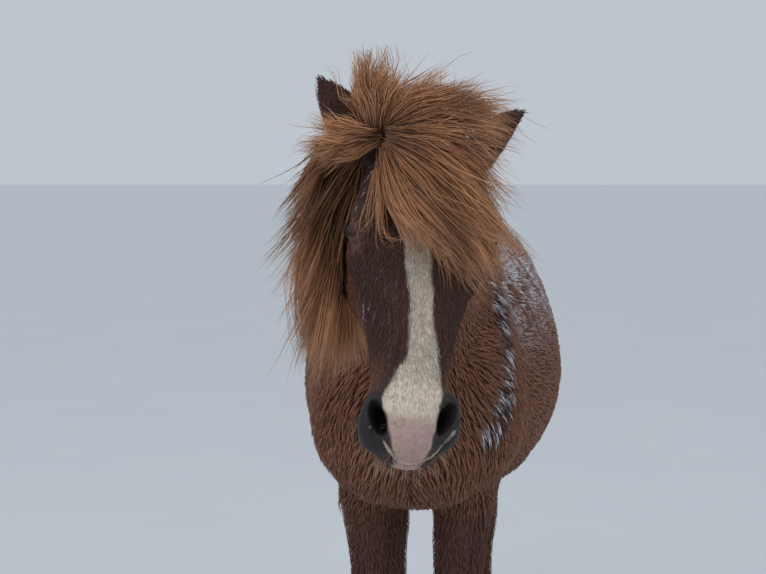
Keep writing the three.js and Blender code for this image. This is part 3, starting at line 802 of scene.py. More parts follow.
def tuftMesh(name, roots, normals, flow, size, marks, shade, spots, random):
    # each tuft is a bent spike with three sides: a closed base, a ring half way and a point
    count = len(roots)
    aside = np.cross(flow, normals)
    long, half, high = size["long"], size["half"], size["high"]
    curl = (random.rand(count) - 0.5) * 0.35
    tip = roots + flow * long[:, None] + normals * high[:, None] + aside * (curl * long)[:, None]
    _, group = np.unique(cellKeys(roots, tuft["clump"], 0.11), return_inverse=True)
    members = np.bincount(group)
    heart = np.stack([np.bincount(group, tip[:, axis]) / members for axis in range(3)], axis=1)[group]
    tip = tip + (heart - tip) * (size["pull"] * (0.4 + 0.6 * random.rand(count)))[:, None]
    reach = ((tip - roots) * normals).sum(axis=1)
    tip = tip + normals * (np.maximum(reach, high * 0.5) - reach)[:, None]
    middle = roots + (tip - roots) * 0.48 + normals * (high * 0.42)[:, None]
    base = roots - normals * 0.0012
    rings = []
    for centre, share, raised in ((base, 0.8, 0.5), (middle, 1.0, 0.55)):
        rings += [centre - aside * (half * share)[:, None], centre + aside * (half * share)[:, None]]
        rings += [centre + normals * (half * raised)[:, None]]
    places = np.stack(rings + [tip], axis=1)
    start = np.arange(count)[:, None] * 7
    quads = np.array([[0, 1, 4, 3], [1, 2, 5, 4], [2, 0, 3, 5]])
    caps = np.array([[0, 2, 1], [3, 4, 6], [4, 5, 6], [5, 3, 6]])
    faces = [(start[:, :, None] + quads).reshape(-1, 4), (start[:, :, None] + caps).reshape(-1, 3)]
    tone = random.rand(count)
    across = np.tile([-1.0, 1.0, 0.0, -1.0, 1.0, 0.0, 0.0], (count, 1))
    along = np.tile([0.0, 0.0, 0.0, 0.5, 0.5, 0.5, 1.0], (count, 1))
    fibre = np.stack([across, along, np.repeat(tone[:, None], 7, 1)], axis=-1).reshape(-1, 3)
    attributes = {"fibre": fibre, "marks": np.repeat(marks, 7, 0), "shade": np.repeat(shade, 7, 0)}
    mesh = meshFrom(name, places.reshape(-1, 3), faces, attributes)
    patches = bakePatch(spots[:, None, :], across, along * 2 - 1).reshape(-1, 2)
    addBakeMap(mesh, patches)
    return mesh


def addBakeMap(mesh, spots):
    corners = np.empty(len(mesh.loops), np.int32)
    mesh.loops.foreach_get("vertex_index", corners)
    layer = mesh.uv_layers.new(name="OFBake")
    layer.data.foreach_set("uv", spots[corners].astype(np.float32).ravel())


def spread(values):
    # an unwrap's spots, stretched to fill the map
    low, high = values.min(axis=0), values.max(axis=0)
    return 0.01 + 0.98 * (values - low) / np.maximum(high - low, 1e-6)


def unwrapRound(places, axisPoint, along, start):
    # the skin unrolled round a straight axis: the angle round it, and the distance along it
    along = unit(np.asarray(along, float))
    start = unit(np.asarray(start, float))
    third = np.cross(along, start)
    away = places - np.asarray(axisPoint)
    return np.stack([np.arctan2(away @ third, away @ start), away @ along], axis=1)


def makeCoat(fine, finish):
    random = np.random.RandomState(5)
    centres = readVectors(fine.polygons, "center")
    normals = readVectors(fine.polygon_normals, "vector")
    where = regions(centres)
    kinds = {"head": where["head"] > 0.5, "legs": (where["legs"] > 0.5) & (where["head"] < 0.5)}
    kinds["trunk"] = ~kinds["head"] & ~kinds["legs"]
    chosen, sizes = [], []
    for kind, mask in kinds.items():
        index = np.nonzero(mask)[0]
        index = index[thinned(centres[index], tuft[kind]["apart"], random)]
        chosen.append(index)
        varied = 0.75 + 0.5 * random.rand(len(index))
        size = {key: tuft[kind][key] * varied for key in ("long", "half", "high")}
        size["pull"] = np.full(len(index), tuft[kind]["pull"])
        sizes.append(size)
    index = np.concatenate(chosen)
    size = {key: np.concatenate([s[key] for s in sizes]) for key in sizes[0]}
    roots = centres[index] + (random.rand(len(index), 3) - 0.5) * 0.002
    up = normals[index]
    there = {key: value[index] for key, value in where.items()}
    local = toHead(roots)
    white, sootAndShade, pink = markings(roots)
    cheek = smooth(0.02, 0.09, local[:, 1]) * there["head"] * (1 - there["muzzle"])
    size["long"] += (tuft["cheekLong"] - size["long"]) * cheek
    size["high"] += (coatDepth["cheek"] - size["high"]) * cheek
    size["long"] += (tuft["earLong"] - size["long"]) * there["ear"]
    size["high"] *= 1 - tuft["earLower"] * there["ear"]
    for key, less in tuft["muzzleLess"].items():
        size[key] *= 1 - less * there["muzzle"]
    home = roots - centring
    feather = tuft["feather"]
    fringe = there["legs"] * smooth(feather["from"], feather["to"], home[:, 2]) * smooth(0.0, 0.5, up[:, 1])
    size["long"] += feather["long"] * fringe
    size["high"] += feather["high"] * fringe
    overHoof = smooth(0.115, 0.085, home[:, 2])
    size["long"] *= 1 + 0.15 * overHoof
    bare = sootAndShade + 0.75 * pink
    eyes = [eyeAxes(side)[0] for side in (-1, 1)]
    nearEye = np.minimum(*[np.linalg.norm(roots - eye, axis=1) for eye in eyes])
    keep = (random.rand(len(roots)) > bare) & (nearEye > tuft["eyeClear"])
    keep &= ~byNostril(local, tuft["nostrilClear"])
    flow = flowAt(roots, up, there)
    tuftMarks = np.stack([white, sootAndShade, pink], axis=1)
    shade = np.stack([darkness(roots), frost(roots, up), there["muzzle"]], axis=1)
    head = there["head"] > 0.5
    legs = (there["legs"] > 0.5) & ~head
    body = ~head & ~legs
    left = home[:, 0] > 0
    ear = head & (there["ear"] > 0.5)
    front = legs & (home[:, 1] < 0)
    face = (pollAt + headTurn @ np.array([0, 0.03, 0]), headTurn @ np.array([0, 0, -1.0]), headTurn[:, 1])
    trunk = (centring + (0, 0, 1.02), (0, 1, 0), (0, 0, -1))
    y = home[:, 1]
    barrel = body & (y >= -0.22) & (y < 0.36)

    def leg(x, y):
        return centring + (x, y, 0), (0, 0, 1), (0, 1, 0)

    # each piece's tufts, and the axis that the skin is unrolled round: a place, its way, and where it starts
    groups = {
        "coat_face_left": (head & ~ear & (local[:, 0] > 0), *face),
        "coat_face_right": (head & ~ear & (local[:, 0] <= 0), *face),
        "coat_ears": (ear, *face),
        "coat_neck": (body & (y < -0.52), *trunk),
        "coat_forehand": (body & (y >= -0.52) & (y < -0.22), *trunk),
        "coat_barrel_left": (barrel & left, *trunk),
        "coat_barrel_right": (barrel & ~left, *trunk),
        "coat_quarters": (body & (y >= 0.36), *trunk),
        "coat_foreleg_left": (front & left, *leg(0.087, -0.44)),
        "coat_foreleg_right": (front & ~left, *leg(-0.087, -0.44)),
        "coat_hindleg_left": (legs & ~front & left, *leg(0.11, 0.66)),
        "coat_hindleg_right": (legs & ~front & ~left, *leg(-0.11, 0.64)),
    }
    for name, (mask, point, along, start) in groups.items():
        ids = np.nonzero(mask & keep)[0]
        if len(ids) > tuft["most"]:
            ids = random.permutation(ids)[: tuft["most"]]
        spots = spread(unwrapRound(roots[ids], point, along, start))
        own = {key: value[ids] for key, value in size.items()}
        mesh = tuftMesh(name, roots[ids], up[ids], flow[ids], own, tuftMarks[ids], shade[ids], spots, random)
        pieceFrom(name, mesh, finish)
        print(name, len(ids), "tufts")


def coatFinish():
    made = Finish("coat", Roughness=0.68, Specular_IOR_Level=0.3)
    where = made.node("TexCoord", output=3)
    white, sootAndShade, pink = [made.attribute("marks", part) for part in range(3)]
    dark, frosted = [made.attribute("shade", part) for part in range(2)]
    along, tone = [made.attribute("fibre", part) for part in (1, 2)]
    streak = made.noise(made.drawn(made.vector("fibre"), 2.6, 1.3, 37.0), 2.0, 2.0)
    blotch = made.noise(where, 7.0, 4.0)
    length = (along + (tone - 0.5) * 0.5).clamped()
    lit = made.mix((blotch * 1.6 - 0.3).clamped(), coatColours["body"], coatColours["tip"])
    colour = made.mix(length, coatColours["root"], lit)
    face = made.mix(length, coatColours["dark"], coatColours["darkTip"])
    colour = made.mix(dark, colour, face)
    colour = made.mix((streak * 1.4 - 0.35).clamped() * (1 - 0.6 * dark) * 0.4, colour, coatColours["ruddy"])
    pale = made.mix(length, coatColours["whiteRoot"], coatColours["white"])
    colour = made.mix(white, colour, pale)
    colour = made.mix(pink * 0.6, colour, coatColours["pink"])
    # dark bare skin round the nostrils, with painted shade in their hollows
    colour = made.mix(sootAndShade, colour, coatColours["sootAndShade"])
    dusted = (frosted * (length + 0.15) * 1.6 * made.noise(where, 55.0, 3.0).between(0.34, 0.56)).clamped()
    colour = made.mix(dusted, colour, coatColours["frost"])
    made.wear("Base Color", colour)
    made.wear("Normal", made.bump(streak, 0.5, 0.0008))
    return made.material


# The eyes

def makeEyes(finish):
    for side, name in ((-1, "eye_right"), (1, "eye_left")):
        centre, outward, nasal, above = eyeAxes(side)
        ball = bmesh.new()
        bmesh.ops.create_uvsphere(ball, u_segments=56, v_segments=36, radius=eyeShape["radius"] - 0.0002)
        for vertex in ball.verts:
            ray = vertex.co.normalized()
            vertex.co += ray * (eyeShape["bulge"] * max(0.0, (ray.z - 0.72) / 0.28) ** 1.2)
        own = [tuple(v.co / eyeShape["radius"]) for v in ball.verts]
        turn = np.stack([nasal, above, outward], axis=1)
        for vertex in ball.verts:
            vertex.co = Vector(turn @ np.array(vertex.co) + centre)
        mesh = bpy.data.meshes.new(name)
        bmesh.ops.recalc_face_normals(ball, faces=ball.faces)
        ball.to_mesh(mesh)
        ball.free()
        addAttribute(mesh, "gaze", np.array(own))
        mesh.shade_smooth()
        pieceFrom("eyeball_" + name[4:], mesh, finish, [name])


def eyeFinish():
    made = Finish("eye", Roughness=0.07, IOR=1.33, Coat_Weight=0.25, Coat_Roughness=0.03)
    gaze = made.vector("gaze")
    along, above = [made.attribute("gaze", part) for part in range(2)]
    squared = along * along * 7.5 + above * above * 42.0
    pupil = squared.calc("SQRT", squared)
    ring = along * along + above * above
    iris = made.mix(made.noise(gaze, 14.0, 4.0), srgb(44, 24, 14), srgb(84, 50, 28))
    colour = made.mix(pupil.between(0.95, 1.15), srgb(10, 9, 12), iris)
    colour = made.mix(ring.between(0.42, 0.58), colour, srgb(26, 17, 14))
    colour = made.mix(ring.between(0.86, 0.98), colour, srgb(66, 50, 46))
    made.wear("Base Color", colour)
    return made.material


def closedTube(points, radii, sides):
    # a round tube along a closed line, as places and quads
    ahead = unit(np.roll(points, -1, 0) - np.roll(points, 1, 0))
    reference = unit(points - points.mean(axis=0))
    first = unit(reference - ahead * (reference * ahead).sum(axis=1, keepdims=True))
    second = np.cross(ahead, first)
    angles = np.arange(sides) / sides * 2 * math.pi
    ring = np.cos(angles)[None, :, None] * first[:, None] + np.sin(angles)[None, :, None] * second[:, None]
    places = points[:, None] + ring * radii[:, None, None]
    return places.reshape(-1, 3), ringQuads(len(points), len(points), sides)


def makeLids(finish):
    # the dark wet edge of the lids
    for side, name in ((-1, "lids_right"), (1, "lids_left")):
        centre, outward, nasal, above = eyeAxes(side)
        angles = np.linspace(0, 2 * math.pi, 72, endpoint=False)
        along = np.sign(np.cos(angles)) * np.abs(np.cos(angles)) ** (2 / 1.7) * eyeShape["halfLong"]
        height = np.where(np.sin(angles) > 0, eyeShape["upper"], eyeShape["lower"])
        up = np.sin(angles) * height
        radius = eyeShape["radius"] + 0.0011
        out = np.sqrt(np.maximum(radius ** 2 - along ** 2 - up ** 2, 0))
        path = centre + along[:, None] * nasal + up[:, None] * above + out[:, None] * outward
        radii = 0.0017 + 0.0005 * np.maximum(np.sin(angles), 0)
        places, quads = closedTube(path, radii, 10)
        mesh = meshFrom(name, places, [quads[:, ::-1] if side > 0 else quads])
        work = bmesh.new()
        work.from_mesh(mesh)
        bmesh.ops.recalc_face_normals(work, faces=work.faces)
        work.to_mesh(mesh)
        work.free()
        pieceFrom(name, mesh, finish)


def lidFinish():
    made = Finish("lid", Roughness=0.34, Specular_IOR_Level=0.5)
    where = made.node("TexCoord", output=3)
    fine = made.noise(where, 420.0, 3.0)
    made.wear("Base Color", made.mix(fine, srgb(26, 21, 22), srgb(52, 41, 40)))
    made.wear("Normal", made.bump(fine, 0.4, 0.0006))
    return made.material


# The hooves

hoof = {
    "toe": 0.072,
    "rows": 30,
    "around": 56,
    "rings": 9,
    "ridge": 0.0007,
    "band": 0.0022,
    # half the width and length at the crown, and what the foot adds at the side, toe and heel
    "half": (0.046, 0.043),
    "flare": (0.0135, 0.0285, 0.008),
    "high": 0.0705,
    "slope": 0.26,
}


def makeHooves(finish):
    for name in sorted(n for n in nodes if n.endswith("hoof")):
        low, high = [np.array(corner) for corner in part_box(name)]
        centre = np.array([(low[0] + high[0]) / 2, low[1] + hoof["toe"], 0.0])
        rows, around = hoof["rows"], hoof["around"]
        height = np.linspace(0, 1, rows)
        angles = np.arange(around) / around * 2 * math.pi
        tall, turn = np.meshgrid(height, angles, indexing="ij")
        front = np.sin(turn) < 0
        share = 1 - tall
        ridge = hoof["ridge"] * np.sin(tall * hoof["rings"] * 2 * math.pi + 0.6 * np.sin(turn * 3))
        ridge *= smooth(0.0, 0.1, tall) * smooth(1.0, 0.9, tall)
        band = hoof["band"] * smooth(0.80, 0.93, tall)
        bevel = -0.003 * smooth(0.05, 0.0, tall)
        halfWide, halfLong = hoof["half"]
        atSide, atToe, atHeel = hoof["flare"]
        wide = halfWide + atSide * share + ridge + bevel + band
        long = np.where(front, halfLong + atToe * share, halfLong + atHeel * share) + ridge + bevel + band
        x = centre[0] + np.cos(turn) * wide
        y = centre[1] + np.sin(turn) * long
        slope = hoof["slope"] * (y - centre[1])
        z = tall * (hoof["high"] + slope) + 0.002 * smooth(0.9, 1.0, tall)
        places = np.stack([x, y, z], axis=-1).reshape(-1, 3)
        quads = ringQuads(rows - 1, rows, around)
        places = np.vstack([places, [[centre[0], centre[1], 0.0]], [[centre[0], centre[1], 0.066]]])
        last = rows * around
        rim = np.arange(around)
        after = (rim + 1) % around
        sole = np.stack([np.full(around, last), after, rim], axis=1)
        crown = np.stack([np.full(around, last + 1), rim + last - around, after + last - around], axis=1)
        mesh = meshFrom(name, places, [quads, np.vstack([sole, crown])])
        pieceFrom(name.replace("_hoof", "_horn"), mesh, finish, [name])


def hornFinish():
    made = Finish("horn", Roughness=0.5, Specular_IOR_Level=0.45)
    where = made.node("TexCoord", output=3)
    streak = made.noise(made.drawn(where, 260.0, 260.0, 12.0), 1.0, 3.0)
    ring = made.noise(made.drawn(where, 6.0, 6.0, 190.0), 1.0, 2.0)
    colour = made.mix(streak, srgb(38, 33, 31), srgb(92, 80, 70))
    height = made.node("SeparateXYZ", inputs={0: where}, output=2)
    colour = made.mix(height.between(0.05, 0.0), colour, srgb(112, 104, 96))
    colour = made.mix(ring * 0.4, colour, srgb(48, 42, 40))
    made.wear("Base Color", colour)
    made.wear("Roughness", 0.42 + streak * 0.25)
    made.wear("Normal", made.bump(streak * 0.5 + ring * 0.5, 0.45, 0.0012))
    return made.material


# Long hair

strandSides = 3


def strandMesh(name, lines, half, tone, spots, random):
    # lines is (strands, points, 3). Each strand is a tapered thread with three sides and a closed root
    count, points = lines.shape[:2]
    ahead = unit(np.gradient(lines, axis=1))
    reference = unit(random.normal(size=(count, 1, 3)) + 0 * lines)
    first = unit(np.cross(ahead, reference))
    second = np.cross(ahead, first)
    share = np.linspace(0, 1, points)
    taper = np.interp(share, (0, 0.15, 0.6, 1), (0.75, 1, 0.8, 0.18))[None, :, None]
    angles = np.arange(strandSides) / strandSides * 2 * math.pi
    thick = half[:, None, None] * taper
    ways = [(first * math.cos(angle) + second * math.sin(angle))[:, :-1] for angle in angles]
    rings = [lines[:, :-1] + thick[:, :-1] * way for way in ways]
    body = np.stack(rings, axis=2).reshape(count, -1, 3)
    places = np.concatenate([body, lines[:, -1:]], axis=1)
    size = (points - 1) * strandSides + 1
    quads, caps = ringQuads(points - 2, points - 1, strandSides), [[0, 2, 1]]
    for side in range(strandSides):
        a = (points - 2) * strandSides + side
        b = (points - 2) * strandSides + (side + 1) % strandSides
        caps.append([a, b, size - 1])
    start = np.arange(count)[:, None, None] * size
    faces = [(start + quads).reshape(-1, 4), (start + np.array(caps)).reshape(-1, 3)]
    along = np.concatenate([np.repeat(share[:-1], strandSides), [1.0]])
    across = np.concatenate([np.tile([-1.0, 0.0, 1.0], points - 1), [0.0]])
    fibre = np.stack(np.broadcast_arrays(across[None], along[None], tone[:, None]), axis=-1).reshape(-1, 3)
    mesh = meshFrom(name, places.reshape(-1, 3), faces, {"fibre": fibre})
    wide = np.broadcast_to(across, (count, size))
    tall = np.broadcast_to(along * 2 - 1, (count, size))
    addBakeMap(mesh, bakePatch(spots[:, None, :], wide, tall).reshape(-1, 2))
    return mesh


growth = {
    "shortest": 0.72,  # of a lock's full length
    "varied": 0.42,
    "longest": 1.08,
    "astray": 0.022,
    "top": 1.600,  # strays that stand above this are pressed down, so the horse keeps its height
    "pressed": 0.7,
}


def blendedAt(lines, spot):
    # lines that lie part of the way between neighbours
    low = spot.astype(int)
    part = (spot - low)[:, None, None]
    return lines[low] * (1 - part) + lines[low + 1] * part


def growLocks(guides, count, random, settings):
    # strands between neighbouring guide lines, gathered into locks that drift apart towards their ends
    points = settings["points"]
    lines = np.stack([resampled(guide, points) for guide in guides])
    locks = settings["locks"]
    lockSpot = random.rand(locks) * (len(lines) - 1)
    for low, high in settings.get("partings", ()):
        parted = (lockSpot > low) & (lockSpot < high)
        lockSpot = np.where(parted, np.where(lockSpot - low < high - lockSpot, low, high), lockSpot)
    lockShift = random.normal(size=(locks, 1, 3)) * np.array(settings["scatter"])
    lockBend = random.normal(size=(locks, 1, 3)) * settings["bend"]
    lockSize = growth["shortest"] + growth["varied"] * random.rand(locks)
    member = random.randint(0, locks, count)
    spot = np.clip(lockSpot[member] + random.normal(size=count) * settings["spread"], 0, len(lines) - 1.001)
    for low, high in settings.get("partings", ()):
        spot = np.where((spot > low) & (lockSpot[member] <= low), low, spot)
        spot = np.where((spot < high) & (lockSpot[member] >= high), high, spot)
    own = blendedAt(lines, np.clip(lockSpot[member], 0, len(lines) - 1.001))
    share = np.linspace(0, 1, points)[None, :, None]
    gather = settings["gather"] * smooth(0.1, 1.0, share)
    made = blendedAt(lines, spot) * (1 - gather) + own * gather
    inward = (1 - settings.get("layers", 0) * random.rand(locks, 1, 1) ** 1.5)[member]
    root = made[:, :1]
    made = root + (made - root) * (np.array([1, 1, 0]) * inward + np.array([0, 0, 1]))
    made = made + lockShift[member] * (0.35 + 0.65 * share) + lockBend[member] * share ** 2
    loose = random.normal(size=(count, 1, 3)) * settings["loose"]
    made = made + loose * (0.5 + 0.5 * share)
    wave = np.sin(share * settings["waves"] * 2 * math.pi + lockSpot[member][:, None, None] * 9)
    side = unit(random.normal(size=(locks, 1, 3)))[member]
    made = made + wave * side * settings["wave"] * share
    made = made + random.normal(size=made.shape) * settings["frizz"] * share
    astray = (random.rand(count, 1, 1) < settings["stray"]) * random.normal(size=(count, 1, 3))
    made = made + astray * growth["astray"] * share ** 1.5
    length = lockSize[member] * (0.8 + 0.25 * random.rand(count))
    made = shortened(made, np.minimum(length, settings.get("longest", growth["longest"])))
    made[..., 2] -= np.maximum(made[..., 2] - growth["top"], 0) * growth["pressed"]
    return made


def shortened(lines, length):
    # each line cut, or drawn on, to its own share of its length
    points = lines.shape[1]
    place = np.linspace(0, 1, points)[None] * length[:, None] * (points - 1)
    low = np.clip(place.astype(int), 0, points - 2)
    part = (place - low)[..., None]
    rows = np.arange(len(lines))[:, None]
    return lines[rows, low] * (1 - part) + lines[rows, low + 1] * part


forelock = {
    # lines from the whorl outwards, as pixels across and down the picture and metres from the camera
    "lines": [
        [(378, 140, 2.10), (362, 147, 2.11), (336, 160, 2.13), (306, 176, 2.16)],
        [(376, 137, 2.10), (358, 140, 2.11), (334, 147, 2.13), (304, 157, 2.16)],
        [(375, 134, 2.10), (360, 134, 2.10), (338, 130, 2.12), (324, 124, 2.14)],
        [(374, 131, 2.11), (366, 118, 2.11), (358, 100, 2.13), (352, 82, 2.15)],
        [(374, 130, 2.11), (367, 108, 2.12), (361, 88, 2.14), (358, 64, 2.16)],
        [(376, 130, 2.11), (372, 106, 2.12), (370, 84, 2.14), (374, 63, 2.16)],
        [(380, 128, 2.11), (382, 108, 2.12), (390, 92, 2.15), (402, 80, 2.18)],
        [(384, 126, 2.11), (396, 106, 2.13), (418, 96, 2.16), (444, 84, 2.19)],
        [(387, 126, 2.10), (412, 101, 2.13), (446, 95, 2.16), (484, 92, 2.19)],
        [(389, 129, 2.10), (418, 112, 2.12), (452, 110, 2.14), (492, 118, 2.17)],
        [(390, 132, 2.09), (426, 125, 2.10), (464, 126, 2.11), (505, 140, 2.14)],
        [(391, 136, 2.08), (430, 138, 2.08), (468, 150, 2.09), (502, 182, 2.12)],
        [(391, 139, 2.07), (430, 150, 2.06), (470, 178, 2.07), (503, 222, 2.10)],
        [(390, 142, 2.06), (424, 160, 2.04), (468, 198, 2.05), (508, 250, 2.08)],
        [(389, 146, 2.06), (414, 172, 2.03), (456, 216, 2.03), (500, 272, 2.06)],
        [(388, 149, 2.05), (404, 180, 2.02), (442, 228, 2.01), (484, 284, 2.03)],
        [(386, 150, 2.05), (396, 184, 2.01), (428, 228, 1.99), (466, 278, 2.01)],
        [(386, 150, 2.05), (395, 186, 2.01), (416, 218, 1.99), (440, 248, 1.99)],
        [(385, 150, 2.05), (389, 176, 2.02), (399, 200, 2.00), (416, 220, 1.99)],
    ],
    "points": 8, "locks": 230, "scatter": (0.010, 0.016, 0.011), "bend": 0.018, "spread": 0.55,
    "gather": 0.70, "loose": 0.0050, "waves": 1.8, "wave": 0.010, "frizz": 0.0016, "stray": 0.08,
    "partings": ((2, 4),), "count": 4600, "half": 0.00078,
}
wisps = {
    # thin locks that hang over the face
    "lines": [
        [(382, 146, 2.06), (376, 172, 2.03), (378, 192, 2.01), (371, 212, 2.01), (364, 234, 2.03),
         (353, 258, 2.06)],
        [(383, 146, 2.06), (378, 172, 2.03), (380, 192, 2.01), (373, 210, 2.01), (367, 230, 2.02),
         (358, 250, 2.05)],
        [(383, 148, 2.06), (376, 176, 2.02), (380, 200, 2.00), (384, 221, 1.99), (392, 240, 1.98),
         (408, 238, 1.97)],
        [(384, 148, 2.06), (379, 178, 2.02), (382, 206, 2.00), (378, 232, 1.99), (384, 252, 1.98),
         (402, 246, 1.97)],
    ],
    "points": 9, "locks": 7, "scatter": (0.002, 0.003, 0.003), "bend": 0.006, "spread": 0.2,
    "gather": 0.85, "loose": 0.0012, "waves": 1.0, "wave": 0.002, "frizz": 0.0005, "stray": 0.3,
    "count": 80, "half": 0.00042,
}
shock = {
    # hair behind the whorl that stands up between the ears and falls back, before centring
    "lines": [
        [(-0.012, -0.90, 1.482), (-0.024, -0.90, 1.515), (-0.036, -0.89, 1.530), (-0.046, -0.87, 1.520)],
        [(0.004, -0.90, 1.487), (0.000, -0.90, 1.516), (-0.008, -0.90, 1.540), (-0.016, -0.89, 1.562)],
        [(0.020, -0.91, 1.490), (0.024, -0.91, 1.508), (0.034, -0.91, 1.524), (0.048, -0.91, 1.540)],
        [(0.035, -0.91, 1.490), (0.060, -0.91, 1.506), (0.090, -0.91, 1.520), (0.124, -0.91, 1.536)],
        [(0.045, -0.90, 1.488), (0.080, -0.90, 1.508), (0.120, -0.90, 1.518), (0.165, -0.90, 1.510)],
        [(0.055, -0.89, 1.482), (0.095, -0.88, 1.502), (0.135, -0.87, 1.495), (0.166, -0.86, 1.455)],
        [(0.045, -0.87, 1.487), (0.075, -0.85, 1.515), (0.105, -0.83, 1.520), (0.135, -0.81, 1.490)],
        [(0.030, -0.86, 1.487), (0.035, -0.84, 1.522), (0.040, -0.81, 1.532), (0.050, -0.77, 1.515)],
        [(0.010, -0.87, 1.485), (-0.010, -0.85, 1.515), (-0.035, -0.83, 1.515), (-0.060, -0.81, 1.480)],
        [(-0.005, -0.89, 1.482), (-0.036, -0.88, 1.500), (-0.062, -0.87, 1.488), (-0.080, -0.86, 1.450)],
    ],
    "points": 7, "locks": 130, "scatter": (0.012, 0.012, 0.005), "bend": 0.018, "spread": 0.6,
    "gather": 0.50, "loose": 0.007, "waves": 1.4, "wave": 0.008, "frizz": 0.0020, "stray": 0.34,
    "count": 1700, "half": 0.00060,
}
cheekMane = {
    # the front of the mane where it is blown out beside the right cheek
    "lines": [
        [(338, 138, 2.24), (328, 146, 2.23), (314, 160, 2.22), (296, 180, 2.23)],
        [(338, 146, 2.27), (325, 164, 2.24), (310, 190, 2.22), (291, 218, 2.22)],
        [(338, 158, 2.29), (325, 188, 2.25), (311, 224, 2.21), (291, 256, 2.20)],
        [(339, 172, 2.30), (327, 212, 2.25), (312, 256, 2.20), (290, 296, 2.18)],
        [(340, 188, 2.30), (330, 232, 2.24), (313, 284, 2.19), (294, 334, 2.17)],
        [(342, 204, 2.30), (333, 252, 2.23), (318, 306, 2.18), (300, 360, 2.17)],
        [(346, 220, 2.28), (340, 268, 2.22), (329, 322, 2.18), (315, 370, 2.17)],
        [(349, 240, 2.28), (345, 284, 2.22), (343, 330, 2.18), (336, 374, 2.18)],
        [(352, 256, 2.28), (350, 296, 2.23), (351, 332, 2.19), (351, 370, 2.20)],
    ],
    "points": 7, "locks": 210, "scatter": (0.009, 0.036, 0.012), "bend": 0.016, "spread": 0.45,
    "gather": 0.55, "loose": 0.0055, "waves": 1.1, "wave": 0.004, "frizz": 0.0012, "stray": 0.03,
    "longest": 1.0, "count": 3200, "half": 0.00080,
}
crest = [(0.030, -0.900, 1.496), (0.032, -0.845, 1.502), (0.020, -0.715, 1.462), (0.006, -0.560, 1.418),
         (0.002, -0.380, 1.392)]
maneRight = {
    # how each lock falls from the crest, as steps away from its root, near the ear and near the withers
    "near": [(0, 0, 0), (-0.065, -0.015, -0.030), (-0.135, -0.030, -0.120),
             (-0.180, -0.040, -0.230), (-0.175, -0.045, -0.330), (-0.150, -0.040, -0.400)],
    "far": [(0, 0, 0), (-0.034, 0.004, -0.008), (-0.064, 0.012, -0.040),
            (-0.084, 0.020, -0.076), (-0.094, 0.028, -0.108), (-0.098, 0.034, -0.130)],
    "rows": 9, "points": 7, "locks": 200, "scatter": (0.014, 0.020, 0.014), "bend": 0.018, "spread": 0.35,
    "gather": 0.55, "loose": 0.006, "waves": 1.4, "wave": 0.005, "frizz": 0.0014, "stray": 0.04,
    "layers": 0.35, "count": 3700, "half": 0.0011,
}
maneLeft = {
    "near": [(0, 0, 0), (0.040, 0.000, 0.000), (0.075, 0.005, -0.050),
             (0.092, 0.008, -0.115), (0.098, 0.010, -0.180), (0.096, 0.012, -0.225)],
    "far": [(0, 0, 0), (0.030, 0.008, -0.004), (0.058, 0.018, -0.026),
            (0.074, 0.026, -0.052), (0.084, 0.032, -0.074), (0.090, 0.038, -0.092)],
    "rows": 9, "points": 7, "locks": 140, "scatter": (0.010, 0.018, 0.010), "bend": 0.014, "spread": 0.35,
    "gather": 0.5, "loose": 0.005, "waves": 1.3, "wave": 0.005, "frizz": 0.0013, "stray": 0.03, "layers": 0.3,
    "count": 2200, "half": 0.0011,
}
tail = {
    "spine": [(0, 0.660, 1.222), (0, 0.712, 1.196), (0.008, 0.774, 1.100), (0.020, 0.806, 0.940),
              (0.032, 0.818, 0.760), (0.038, 0.822, 0.560), (0.038, 0.818, 0.360), (0.036, 0.814, 0.185)],
    "half": (0.030, 0.044, 0.058, 0.070, 0.074, 0.070, 0.056, 0.024),
    "deep": (0.026, 0.036, 0.044, 0.056, 0.064, 0.066, 0.054, 0.022),
    "points": 8, "count": 2700, "strand": 0.0012, "wave": 0.006, "locks": 170,
}
hairCore = {"inset": 0.026, "voxel": 0.006, "rounds": 40, "over": 0.016}


def maneGuides(settings):
    roots = resampled(crest, settings["rows"])
    guides = []
    for step, root in enumerate(roots):
        share = step / (settings["rows"] - 1)
        fall = np.array(settings["near"]) * (1 - share) + np.array(settings["far"]) * share
        guides.append(root + centring + fall)
    return guides


def pushedOut(lines, surface, clearance, random):
    # keeps strands outside the skin, each at its own height over it
    heights = clearance * (0.3 + random.rand(len(lines)))
    for row, line in enumerate(lines):
        for step in range(1, len(line)):
            point = Vector(line[step])
            near, normal, _, _ = surface.find_nearest(point, 0.12)
            if near is None:
                continue
            above = (point - near).dot(normal)
            if above < heights[row]:
                line[step] = np.array(near + normal * heights[row])
    return lines


hairGaps = (
    # parts of the frame that most hair leaves clear: left, top, right, bottom, depth, and the share kept
    (340, 166, 364, 232, 2.18, 0.05),  # the bare brow over the right eye
    (312, 62, 348, 110, 9.0, 0.12),  # the right ear
)


def cleared(lines, random):
    between = [lines[:, :-1] * (1 - part) + lines[:, 1:] * part for part in (0, 0.25, 0.5, 0.75)]
    spots = seenAt(np.stack(between, axis=2).reshape(len(lines), -1, 3))
    leave = np.zeros(len(lines), bool)
    for left, top, right, bottom, depth, kept in hairGaps:
        inside = (spots > (left, top, 0)) & (spots < (right, bottom, depth))
        leave |= inside.all(axis=2).any(axis=1) & (random.rand(len(lines)) > kept)
    return lines[~leave]


def rootSpots(lines, random):
    roots = lines[:, 0]
    flat = roots - roots.mean(axis=0)
    _, _, axes = np.linalg.svd(flat[:: max(1, len(flat) // 500)], full_matrices=False)
    spots = flat @ axes[:2].T + random.normal(size=(len(roots), 2)) * 0.0005
    order = np.argsort(np.argsort(spots, axis=0), axis=0)
    return 0.01 + 0.98 * order / len(roots)


